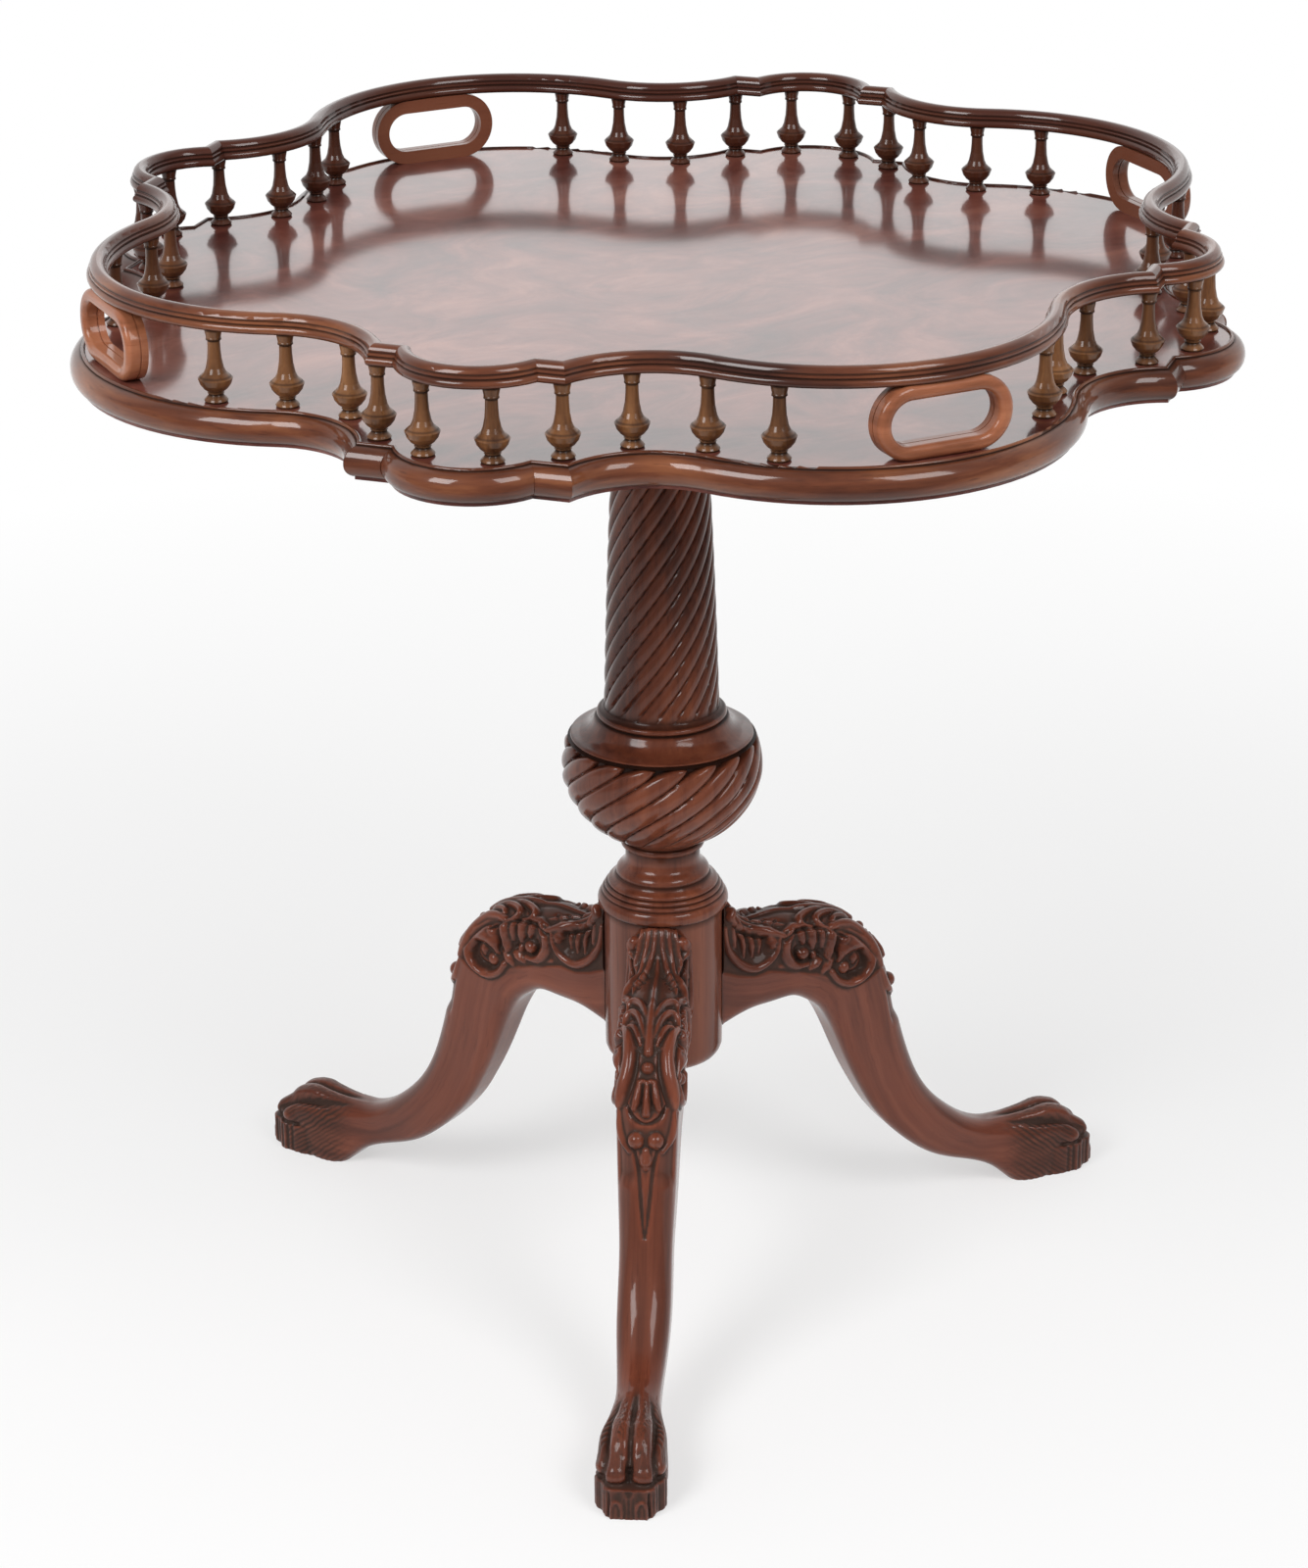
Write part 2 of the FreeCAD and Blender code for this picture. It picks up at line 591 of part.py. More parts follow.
def handle_section():
    """Half-round front, groove and flat back: across the band, and out from the back face."""
    half = HANDLE_BAND / 2
    groove = HANDLE_BACK_DEPTH + HANDLE_GROOVE_WIDTH
    rounding = half - HANDLE_FRONT_FLAT
    bulge = rounding * QUARTER_BULGE
    right = [(half, 0.0), (half, HANDLE_BACK_DEPTH), (half - HANDLE_GROOVE_DEPTH, HANDLE_BACK_DEPTH),
             (half - HANDLE_GROOVE_DEPTH, groove), (half, groove), (half, HANDLE_DEPTH - rounding),
             (half - bulge, HANDLE_DEPTH - bulge, HANDLE_FRONT_FLAT, HANDLE_DEPTH),
             (-HANDLE_FRONT_FLAT, HANDLE_DEPTH)]
    left = [(bulge - half, HANDLE_DEPTH - bulge, -half, HANDLE_DEPTH - rounding),
            (-half, groove), (-half + HANDLE_GROOVE_DEPTH, groove),
            (-half + HANDLE_GROOVE_DEPTH, HANDLE_BACK_DEPTH), (-half, HANDLE_BACK_DEPTH), (-half, 0.0)]
    return right + left


def handle_back():
    return SIDE_REACH - SIDE_INSET - HANDLE_SETBACK - HANDLE_DEPTH / 2


def handle_dowels(gap):
    """Dowels of the +X handle into the board and the rail."""
    x = handle_back() + HANDLE_DEPTH / 2
    bite = HANDLE_BAND / 2
    dowels = []
    for y in (-HANDLE_DOWEL_SPACING / 2, HANDLE_DOWEL_SPACING / 2):
        foot = socket(HANDLE_DOWEL_RADIUS, gap, SURFACE_HEIGHT - HANDLE_FOOT_DOWEL - gap, SURFACE_HEIGHT + bite)
        head = socket(HANDLE_DOWEL_RADIUS, gap, RAIL_UNDERSIDE - bite, RAIL_UNDERSIDE + HANDLE_HEAD_DOWEL + gap)
        dowels.append(moved(foot, x, y, 0))
        dowels.append(moved(head, x, y, 0))
    return dowels


def handle():
    """Pierced handle of the +X side: a band bent to two half rounds and two straights."""
    radius = (RAIL_CLEAR_HEIGHT - HANDLE_BAND) / 2
    straight = HANDLE_LENGTH - RAIL_CLEAR_HEIGHT
    middle = SURFACE_HEIGHT + RAIL_CLEAR_HEIGHT / 2
    # In the section's plane, X runs across the band and Z out of the handle's back
    face = section_face(handle_section())
    parts = []
    for side in (1, -1):
        band = face.copy()
        band.translate(V(side * radius, 0, 0))
        bar = band.extrude(V(0, straight, 0))
        parts.append(moved(bar, 0, -straight / 2, 0))
        bend = band.copy().revolve(ORIGIN, UP, HALF_TURN)
        parts.append(moved(bend, 0, side * straight / 2, 0))
    ring = fused(parts)
    ring.rotate(ORIGIN, V(0, 1, 0), 90)
    ring = moved(ring, handle_back(), 0, middle)
    return fused([ring] + handle_dowels(0.0))


def bearer_screw_places():
    """Places of the screws along the bearers."""
    end = BEARER_LENGTH / 2 - BEARER_SCREW_END
    x = BEARER_INNER + BEARER_WIDTH / 2
    rows = (-end, -PIVOT_SETBACK - BEARER_SCREW_PIN, BEARER_SCREW_BACK, end)
    return [(side * x, y) for side in (-1, 1) for y in rows]


def wood_screw(shank, head, length, gap):
    """Countersunk screw pointing up, its head's face at zero."""
    sink = head - shank
    tip = 2 * shank
    profile = [(head + gap, 0.0), (shank + gap, sink), (shank + gap, length - tip), (0.4 * shank + gap, length + gap)]
    screw = turned(profile)
    if gap > 0:
        return screw
    return screw.cut(box(-head, head, -SLOT_WIDTH / 2, SLOT_WIDTH / 2, -SLOT_DEPTH, SLOT_DEPTH))


def bearer_screw(gap):
    return wood_screw(BEARER_SCREW_SHANK, BEARER_SCREW_HEAD, BEARER_DEPTH + BEARER_SCREW_BITE, gap)


def catch_screw_places():
    return [(side * CATCH_SCREW_SIDE, CATCH_FRONT + y)
            for side in (-1, 1) for y in (CATCH_SCREW_INSET, CATCH_LENGTH - CATCH_SCREW_INSET)]


def small_screw(gap):
    return wood_screw(SMALL_SCREW_SHANK, SMALL_SCREW_HEAD, SMALL_SCREW_LENGTH, gap)


def tray_board():
    board = outline_face(BOARD_LINE, 0.0, BOARD_UNDERSIDE).extrude(V(0, 0, BOARD_THICKNESS))
    lip = outline_face(BOARD_LINE, LIP_REACH, BOARD_UNDERSIDE).extrude(V(0, 0, LIP_THICKNESS))
    board = fused([board, lip])
    cuts = []
    foot = socket(SPINDLE_TENON_RADIUS, GLUE_GAP, SURFACE_HEIGHT - SPINDLE_FOOT_TENON - GLUE_GAP, SURFACE_HEIGHT + 1)
    for place in spindle_places():
        cuts.append(moved(foot, place.x, place.y, 0))
    for turn in QUARTERS:
        for dowel in handle_dowels(GLUE_GAP):
            cuts.append(rotated(dowel, turn))
    for x, y in bearer_screw_places():
        cuts.append(moved(bearer_screw(SCREW_GAP), x, y, BEARER_BOTTOM))
    for x, y in catch_screw_places():
        cuts.append(moved(small_screw(SCREW_GAP), x, y, PLATE_FACE))
    return board.cut(Part.makeCompound(cuts)).Solids


def edge_moulding():
    return moulded_ring(BOARD_LINE, edge_section(), SURFACE_HEIGHT, 2 * BOARD_THICKNESS, EDGE_REACH / 2)


def gallery_rail():
    lengths = moulded_ring(RAIL_LINE, rail_section(), RAIL_UNDERSIDE, 2 * RAIL_HEIGHT, RAIL_HALF_WIDTH)
    cuts = []
    top = RAIL_UNDERSIDE + SPINDLE_HEAD_TENON + GLUE_GAP
    head = socket(SPINDLE_TENON_RADIUS, GLUE_GAP, RAIL_UNDERSIDE - 1, top)
    for place in spindle_places():
        cuts.append(moved(head, place.x, place.y, 0))
    for turn in QUARTERS:
        for dowel in handle_dowels(GLUE_GAP):
            cuts.append(rotated(dowel, turn))
    drill = Part.makeCompound(cuts)
    return [length.cut(drill).Solids[0] for length in lengths]


def bearer(side):
    """Bearer at one side, with tapered ends, the pin's bore and the screw holes."""
    half = BEARER_LENGTH / 2
    points = [(-half, BOARD_UNDERSIDE), (half, BOARD_UNDERSIDE),
              (half, BEARER_BOTTOM + BEARER_TAPER_DEPTH), (half - BEARER_TAPER_LENGTH, BEARER_BOTTOM),
              (BEARER_TAPER_LENGTH - half, BEARER_BOTTOM), (-half, BEARER_BOTTOM + BEARER_TAPER_DEPTH)]
    wire = Part.makePolygon([V(BEARER_INNER, y, z) for y, z in points + points[:1]])
    bar = Part.Face(wire).extrude(V(BEARER_WIDTH, 0, 0))
    bore = Part.makeCylinder(PIN_RADIUS + PIN_RUNNING_GAP, 2 * BEARER_WIDTH,
                             V(BEARER_INNER - BEARER_WIDTH / 2, -PIVOT_SETBACK, PIVOT_HEIGHT), V(1, 0, 0))
    cuts = [bore]
    for x, y in bearer_screw_places():
        if x > 0:
            cuts.append(moved(bearer_screw(SCREW_GAP), x, y, BEARER_BOTTOM))
    bar = bar.cut(Part.makeCompound(cuts))
    if side < 0:
        bar = bar.mirror(ORIGIN, V(1, 0, 0))
    return bar.Solids


# ------------------------------------------------------------ catch

def catch_plate():
    """Plate screwed under the board, with two keepers round the bolt."""
    half = CATCH_WIDTH / 2
    back = CATCH_FRONT + CATCH_LENGTH
    parts = [box(-half, half, CATCH_FRONT, back, PLATE_FACE, BOARD_UNDERSIDE)]
    inner = BOLT_WIDTH / 2 + BOLT_GAP
    outer = inner + KEEPER_WALL
    low = BOLT_BOTTOM - BOLT_GAP
    for y in (CATCH_FRONT + KEEPER_INSET, back - KEEPER_BACK_INSET):
        strap = box(-outer, outer, y, y + KEEPER_LENGTH, low - KEEPER_WALL, PLATE_FACE)
        parts.append(strap.cut(box(-inner, inner, y, y + KEEPER_LENGTH, low, PLATE_FACE)))
    plate = fused(parts)
    cuts = [moved(small_screw(SCREW_GAP), x, y, PLATE_FACE) for x, y in catch_screw_places()]
    return plate.cut(Part.makeCompound(cuts)).Solids


def catch_bolt():
    """Flat bolt with a round knob below, drawn back."""
    half = BOLT_WIDTH / 2
    bar = box(-half, half, BOLT_NOSE, BOLT_NOSE + BOLT_LENGTH, BOLT_BOTTOM, BOLT_TOP)
    y = BOLT_NOSE + KNOB_SETBACK
    stem = Part.makeCylinder(KNOB_STEM_RADIUS, KNOB_STEM_LENGTH, V(0, y, BOLT_BOTTOM - KNOB_STEM_LENGTH), UP)
    ball = Part.makeSphere(KNOB_RADIUS, V(0, y, BOLT_BOTTOM - KNOB_STEM_LENGTH))
    return fused([bar, stem, ball]).Solids


def strike_screw(side, gap):
    screw = small_screw(gap)
    screw.rotate(ORIGIN, V(1, 0, 0), 90)
    return moved(screw, side * STRIKE_SCREW_SIDE, BLOCK_BACK, (BOLT_TOP + BOLT_BOTTOM) / 2)


def strike_plate(gap):
    """Plate let flush into the block's back face, slotted for the bolt."""
    half = STRIKE_WIDTH / 2 + gap
    top = BLOCK_TOP - STRIKE_TOP_GAP
    front = BLOCK_BACK - STRIKE_THICKNESS - gap
    plate = box(-half, half, front, BLOCK_BACK, top - STRIKE_HEIGHT - gap, top + gap)
    if gap > 0:
        return plate
    slot = BOLT_WIDTH / 2 + BOLT_GAP
    plate = plate.cut(box(-slot, slot, front, BLOCK_BACK, BOLT_BOTTOM - BOLT_GAP, BOLT_TOP + BOLT_GAP))
    for side in (-1, 1):
        plate = plate.cut(strike_screw(side, SCREW_GAP))
    return plate


# ------------------------------------------------------------ block and pillar

def tilt_block():
    """Block on the pillar; its front edge is rounded about the pins so that the board can turn."""
    half = BLOCK_WIDTH / 2
    body = box(-half, half, -PIVOT_SETBACK, BLOCK_BACK, BLOCK_BOTTOM, BLOCK_TOP)
    centre = V(-half, -PIVOT_SETBACK, PIVOT_HEIGHT)
    nose = Part.makeCylinder(BLOCK_THICKNESS / 2, BLOCK_WIDTH, centre, V(1, 0, 0))
    reach = BEARER_INNER + BEARER_WIDTH - PIN_END_GAP
    pins = Part.makeCylinder(PIN_RADIUS, 2 * reach, V(-reach, -PIVOT_SETBACK, PIVOT_HEIGHT), V(1, 0, 0))
    block = fused([body, nose, pins])
    slot = BOLT_WIDTH / 2 + BOLT_GAP
    deep = BOLT_NOSE - BOLT_TRAVEL - MORTISE_SPARE
    cuts = [Part.makeCylinder(PILLAR_TENON_RADIUS + GLUE_GAP, 2 * BLOCK_THICKNESS, V(0, 0, BLOCK_BOTTOM - 1), UP),
            strike_plate(GLUE_GAP),
            box(-slot, slot, deep, BLOCK_BACK, BOLT_BOTTOM - BOLT_GAP, BOLT_TOP + BOLT_GAP)]
    for side in (-1, 1):
        cuts.append(strike_screw(side, SCREW_GAP))
    return block.cut(Part.makeCompound(cuts)).Solids


def lobed_wire(count, peak, valley, z, turn):
    """Ring of convex lobes, the first one centred on an angle."""
    step = 360.0 / count
    edges = []
    for number in range(count):
        angle = turn + number * step
        edges.append(Part.Arc(polar(valley, angle - step / 2, z), polar(peak, angle, z),
                              polar(valley, angle + step / 2, z)).toShape())
    return Part.Wire(edges)


def shaft_radius(share):
    taper = SHAFT_FOOT_RADIUS + (SHAFT_TOP_RADIUS - SHAFT_FOOT_RADIUS) * share
    return taper + SHAFT_SWELL * 4 * share * (1 - share)


def reeded_shaft():
    """Tapering shaft with right-handed spiral reeds."""
    wires = []
    for number in range(STACK_SECTIONS):
        share = number / (STACK_SECTIONS - 1)
        z = SHAFT_FOOT + share * (SHAFT_TOP - SHAFT_FOOT)
        peak = shaft_radius(share)
        turn = 360.0 * (z - SHAFT_FOOT) / REED_RISE
        wires.append(lobed_wire(REED_COUNT, peak, peak - REED_DEPTH, z, turn))
    return Part.makeLoft(wires, True, False)


def bowl_radius(z):
    if z >= KNOP_WIDEST:
        share = (z - KNOP_WIDEST) / (KNOP_TOP - KNOP_WIDEST)
        return KNOP_RADIUS + (KNOP_TOP_RADIUS - KNOP_RADIUS) * share * share
    below = (KNOP_WIDEST - z) / (KNOP_WIDEST - KNOP_FOOT)
    swell = (1 - below ** KNOP_FULLNESS) ** (1 / KNOP_FULLNESS)
    return KNOP_FOOT_RADIUS + (KNOP_RADIUS - KNOP_FOOT_RADIUS) * swell


def gadrooned_bowl():
    """Bowl of the knop with right-handed spiral gadroons."""
    wires = []
    for number in range(BOWL_SECTIONS):
        share = number / (BOWL_SECTIONS - 1)
        z = KNOP_FOOT + share * (KNOP_TOP - KNOP_FOOT)
        peak = bowl_radius(z)
        depth = GADROON_DEPTH * (0.35 + 0.65 * math.sin(math.pi * min(share, 0.5)))
        wires.append(lobed_wire(GADROON_COUNT, peak, peak - depth, z, GADROON_TURN * share))
    return Part.makeLoft(wires, True, False)


def dovetail(gap, foot):
    """Dovetail of the +X leg, running from a foot level up to the shoulder."""
    tip = POST_RADIUS - DOVETAIL_DEPTH - gap
    root = DOVETAIL_ROOT / 2 + gap
    wide = DOVETAIL_TIP / 2 + gap
    out = POST_RADIUS + 3
    slope = (wide - root) / (POST_RADIUS - tip)
    outer = root - slope * (out - POST_RADIUS)
    points = [(tip, -wide), (out, -outer), (out, outer), (tip, wide)]
    wire = Part.makePolygon([V(x, y, foot) for x, y in points + points[:1]])
    return Part.Face(wire).extrude(V(0, 0, DOVETAIL_TOP + gap - foot))


def pillar():
    """The whole turning, with its dovetail sockets and the tenon through the block."""
    post = [(POST_RADIUS - POST_EDGE, POST_FOOT),
            (POST_RADIUS - POST_EDGE * QUARTER_BULGE, POST_FOOT + POST_EDGE * QUARTER_BULGE,
             POST_RADIUS, POST_FOOT + POST_EDGE),
            (POST_RADIUS, POST_TOP)]
    for out, rise in COLLAR:
        post.append((POST_RADIUS + out, POST_TOP + rise))
    post.append((NECK_RADIUS, POST_TOP + COLLAR[-1][1]))
    for out, rise in NECK_RING:
        post.append((NECK_RADIUS + out, KNOP_FOOT + rise))
    lower = turned(post)
    upper = []
    for out, rise in SHOULDER:
        upper.append((ASTRAGAL_RADIUS + out, KNOP_TOP + rise))
    ring = KNOP_TOP + SHOULDER[-1][1]
    upper.append((ASTRAGAL_RADIUS, ring + ASTRAGAL_HEIGHT / 2, ASTRAGAL_RADIUS - 0.6, ring + ASTRAGAL_HEIGHT))
    upper.append((SHAFT_FOOT_RADIUS - 1, ring + ASTRAGAL_HEIGHT + ASTRAGAL_COVE / 2,
                  SHAFT_FOOT_RADIUS - REED_DEPTH / 2, SHAFT_FOOT))
    shoulder = turned(upper)
    plain = SHAFT_TOP_RADIUS - REED_DEPTH / 2
    low = BLOCK_BOTTOM - SHAFT_RING_HEIGHT
    head = turned([(plain, SHAFT_TOP), (plain, low), (plain + SHAFT_RING_OUT, low + SHAFT_RING_HEIGHT / 2, plain,
                   BLOCK_BOTTOM), (PILLAR_TENON_RADIUS, BLOCK_BOTTOM), (PILLAR_TENON_RADIUS, BLOCK_TOP)])
    whole = fused([lower, gadrooned_bowl(), shoulder, reeded_shaft(), head])
    sockets = [rotated(dovetail(DOVETAIL_GAP, POST_FOOT - 1), angle) for angle in LEG_ANGLES]
    return whole.cut(Part.makeCompound(sockets)).Solids


# ------------------------------------------------------------ legs

def leg_section(top, foot, width):
    """Rounded rectangle across the leg at one station."""
    high = V(top[0], 0, top[1])
    low = V(foot[0], 0, foot[1])
    half = width / 2
    depth = high.distanceToPoint(low)
    rise = (high - low).normalize()
    side = V(0, 1, 0)
    over = LEG_TOP_ROUNDING * width
    under = LEG_UNDER_ROUNDING * width
    full = over * QUARTER_BULGE
    slight = under * QUARTER_BULGE

    def at(across, along):
        return low + side * across + rise * along

    corners = [((half, under), (half - slight, slight), (half - under, 0)),
               ((-half + under, 0), (-half + slight, slight), (-half, under)),
               ((-half, depth - over), (-half + full, depth - full), (-half + over, depth)),
               ((half - over, depth), (half - full, depth - full), (half, depth - over))]
    edges = []
    for number, corner in enumerate(corners):
        start, middle, end = [at(*point) for point in corner]
        edges.append(Part.Arc(start, middle, end).toShape())
        edges.append(Part.LineSegment(end, at(*corners[(number + 1) % 4][0])).toShape())
    return Part.Wire(edges)


def toe(angle, setback):
    """One toe, from knuckle to tip, with its claw standing on the floor."""
    start = V(TOE_KNUCKLE[0] - setback, 0, TOE_KNUCKLE[1])
    end = V(TOE_TIP[0] - setback, 0, TOE_TIP[1])
    way = end - start
    shape = Part.makeCylinder(TOE_RADIUS, way.Length, start, way)
    claw = Part.makeCylinder(CLAW_RADIUS, CLAW_HEIGHT, V(CLAW_REACH - setback, 0, 0), UP)
    shape = fused([shape, Part.makeSphere(TOE_RADIUS, start), Part.makeSphere(TOE_RADIUS, end), claw])
    shape.rotate(ORIGIN, UP, angle)
    return moved(shape, TOE_FAN_CENTRE, 0, 0)


def palm():
    front = TOE_FAN_CENTRE + CLAW_REACH
    return box(front - PALM_LENGTH, front, -PALM_HALF_WIDTH, PALM_HALF_WIDTH, 0, TOE_TIP[1])


def leg():
    """Cabriole leg along +X, with its paw and its dovetail."""
    wires = [leg_section(top, under, width) for top, under, width in LEG_STATIONS]
    body = Part.makeLoft(wires, True, False)
    body = fused([body, palm()] + [toe(angle, setback) for angle, setback in TOES])
    reach = 2 * LEG_STATIONS[-1][0][0]
    body = body.cut(box(0, reach, -reach, reach, -reach, 0))
    post = Part.makeCylinder(POST_RADIUS, POST_TOP, ORIGIN, UP)
    collar = Part.makeCylinder(POST_RADIUS + COLLAR[0][0], KNOP_FOOT - POST_TOP, V(0, 0, POST_TOP), UP)
    body = body.cut(fused([post, collar]))
    body = max(body.Solids, key=lambda solid: solid.Volume)
    return fused([body, dovetail(0.0, DOVETAIL_FOOT)]).Solids


# ------------------------------------------------------------ write the nodes

os.makedirs("parts", exist_ok=True)

export("tray_board", tray_board())
export("edge_moulding", edge_moulding())
export("gallery_rail", gallery_rail())

one_spindle = spindle()
for number, place in enumerate(spindle_places()):
    export("spindle_%02d" % (number + 1), [moved(one_spindle, place.x, place.y, 0)])

one_handle = handle()
for number, turn in enumerate(QUARTERS):
    export("handle_%d" % (number + 1), rotated(one_handle, turn).Solids)

export("bearer_left", bearer(-1))
export("bearer_right", bearer(1))
export("bearer_screws", [moved(bearer_screw(0.0), x, y, BEARER_BOTTOM) for x, y in bearer_screw_places()])
export("catch_plate", catch_plate())
export("catch_screws", [moved(small_screw(0.0), x, y, PLATE_FACE) for x, y in catch_screw_places()])
export("catch_bolt", catch_bolt())
export("strike_plate", strike_plate(0.0).Solids)
export("strike_screws", [strike_screw(side, 0.0) for side in (-1, 1)])
export("tilt_block", tilt_block())
export("pillar", pillar())

one_leg = leg()
for name, angle in zip(LEG_NAMES, LEG_ANGLES):
    export(name, [rotated(solid, angle) for solid in one_leg])
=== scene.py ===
import math

import bpy
import numpy as np
from mathutils import Euler, Matrix, Vector


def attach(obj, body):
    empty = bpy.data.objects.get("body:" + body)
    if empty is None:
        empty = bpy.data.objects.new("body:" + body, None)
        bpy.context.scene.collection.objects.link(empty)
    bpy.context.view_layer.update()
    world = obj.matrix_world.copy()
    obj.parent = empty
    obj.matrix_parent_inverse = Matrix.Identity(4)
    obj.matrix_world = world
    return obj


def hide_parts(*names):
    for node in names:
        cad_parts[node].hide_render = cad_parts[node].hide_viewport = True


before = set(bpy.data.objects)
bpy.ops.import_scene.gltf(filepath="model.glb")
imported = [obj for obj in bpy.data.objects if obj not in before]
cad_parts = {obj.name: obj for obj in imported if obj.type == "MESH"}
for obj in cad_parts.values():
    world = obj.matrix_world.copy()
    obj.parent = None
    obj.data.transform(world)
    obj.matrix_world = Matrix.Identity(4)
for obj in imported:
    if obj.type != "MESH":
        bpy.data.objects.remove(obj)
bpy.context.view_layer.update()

# Tray top tea table: looks of the mahogany, the turned and carved pillar, and the carved legs.
# Metres, +Z up, origin on the pillar's axis at the floor.

MM = 0.001
SAME_PLACE = 0.00001

# ------------ working with meshes


def deselect_all():
    if bpy.context.mode != "OBJECT":
        bpy.ops.object.mode_set(mode="OBJECT")
    bpy.ops.object.select_all(action="DESELECT")


def pick(obj):
    """Makes one object the only selected and active one."""
    deselect_all()
    obj.select_set(True)
    bpy.context.view_layer.objects.active = obj


def points_of(obj):
    """Vertices of a mesh as an array of rows x, y, z."""
    flat = np.empty(len(obj.data.vertices) * 3, np.float64)
    obj.data.vertices.foreach_get("co", flat)
    return flat.reshape(-1, 3)


def normals_of(obj):
    flat = np.empty(len(obj.data.vertices) * 3, np.float64)
    obj.data.vertices.foreach_get("normal", flat)
    return flat.reshape(-1, 3)


def set_points(obj, points):
    obj.data.vertices.foreach_set("co", points.astype(np.float32).ravel())
    obj.data.update()


def edges_of(obj):
    flat = np.empty(len(obj.data.edges) * 2, np.int64)
    obj.data.edges.foreach_get("vertices", flat)
    return flat.reshape(-1, 2)


def store(obj, name, values):
    """Keeps one number per vertex for the material."""
    attribute = obj.data.attributes.new(name, "FLOAT", "POINT")
    attribute.data.foreach_set("value", np.clip(values, 0, 1).astype(np.float32))


def averaged(values, edges, times):
    """Rows of values, averaged with those of their neighbours along the mesh's edges a number of times."""
    first, second = edges.T
    count = np.bincount(edges.ravel(), minlength=len(values)) + 1.0
    for _ in range(times):
        spread = np.empty_like(values)
        for column, part in enumerate(values.T):
            shared = np.bincount(first, part[second], len(values))
            shared += np.bincount(second, part[first], len(values))
            spread[:, column] = (part + shared) / count
        values = spread
    return values


def hollows(obj, depth, reach):
    """How far each vertex lies below its surroundings, as a share of a depth."""
    points = points_of(obj)
    edges = edges_of(obj)
    below = averaged(points, edges, reach) - points
    return np.einsum("ij,ij->i", below, normals_of(obj)) / depth


def smooth(low, high, values):
    """Nothing at one end, one at the other, and an even slope between them."""
    share = np.clip((values - low) / (high - low), 0, 1)
    return share * share * (3 - 2 * share)


# ------------ shaders


class Value:
    """A socket of a shader, for sums written as plain expressions."""

    def __init__(self, shader, socket):
        self.shader = shader
        self.socket = socket

    def maths(self, operation, *values):
        return self.shader.node("ShaderNodeMath", {"operation": operation}, dict(enumerate(values)))

    def __add__(self, other):
        return self.maths("ADD", self, other)

    def __sub__(self, other):
        return self.maths("SUBTRACT", self, other)

    def __rsub__(self, other):
        return self.maths("SUBTRACT", other, self)

    def __mul__(self, other):
        return self.maths("MULTIPLY", self, other)

    def __truediv__(self, other):
        return self.maths("DIVIDE", self, other)

    def __pow__(self, other):
        return self.maths("POWER", self, other)

    __radd__ = __add__
    __rmul__ = __mul__

    def clamped(self):
        return self.maths("MAXIMUM", self.maths("MINIMUM", self, 1.0), 0.0)

    def near(self, middle, reach):
        """One at a level, falling to nothing within a reach of it."""
        gap = self.maths("ABSOLUTE", self - middle)
        return (1 - gap / reach).clamped()


class Nodes:
    """A tree of shader nodes, empty at first."""

    def __init__(self, tree):
        self.tree = tree
        self.tree.nodes.clear()

    def node(self, kind, settings, sockets, output=0):
        made = self.tree.nodes.new(kind)
        for name, setting in settings.items():
            if name == "stops":
                self.set_stops(made.color_ramp, setting)
            else:
                setattr(made, name, setting)
        for name, value in sockets.items():
            if isinstance(value, Value):
                self.tree.links.new(value.socket, made.inputs[name])
            else:
                made.inputs[name].default_value = value
        return Value(self, made.outputs[output]) if made.outputs else made

    def set_stops(self, ramp, stops):
        while len(ramp.elements) < len(stops):
            ramp.elements.new(1.0)
        for element, (place, colour) in zip(ramp.elements, stops):
            element.position = place
            element.color = (*colour, 1.0)

    def rays(self, kind):
        return self.node("ShaderNodeLightPath", {}, {}, kind)


class Shader(Nodes):
    """A material with its nodes."""

    def __init__(self, name, along=None):
        self.material = bpy.data.materials.new(name)
        self.material.use_nodes = True
        super().__init__(self.material.node_tree)
        self.places = self.node("ShaderNodeTexCoord", {}, {}, "Object")
        if along is not None:
            self.places = self.node("ShaderNodeAttribute", {"attribute_name": along}, {}, "Vector")

    def part(self, name):
        """One coordinate of the place on the object."""
        return self.node("ShaderNodeSeparateXYZ", {}, {0: self.places}, name)

    def attribute(self, name):
        return self.node("ShaderNodeAttribute", {"attribute_name": name}, {}, "Fac")

    def noise(self, scale, stretch=(1, 1, 1), turn=(0, 0, 0), detail=3.0, roughness=0.5, distortion=0.0):
        places = self.node("ShaderNodeMapping", {}, {0: self.places, "Rotation": turn, "Scale": stretch})
        sockets = {"Vector": places, "Scale": scale, "Detail": detail, "Roughness": roughness,
                   "Distortion": distortion}
        return self.node("ShaderNodeTexNoise", {}, sockets, "Fac")

    def ramp(self, factor, stops):
        return self.node("ShaderNodeValToRGB", {"stops": stops}, {"Fac": factor})

    def mixed(self, factor, first, second):
        """Two colours mixed by a factor."""
        settings = {"data_type": "RGBA", "clamp_factor": True}
        return self.node("ShaderNodeMix", settings, {0: factor, 6: rgba(first), 7: rgba(second)}, 2)

    def surface(self, shader):
        """The finished material."""
        self.node("ShaderNodeOutputMaterial", {}, {"Surface": shader})
        return self.material


def rgba(colour):
    """A colour as a node's socket takes it."""
    return colour if isinstance(colour, Value) else (*colour, 1.0)


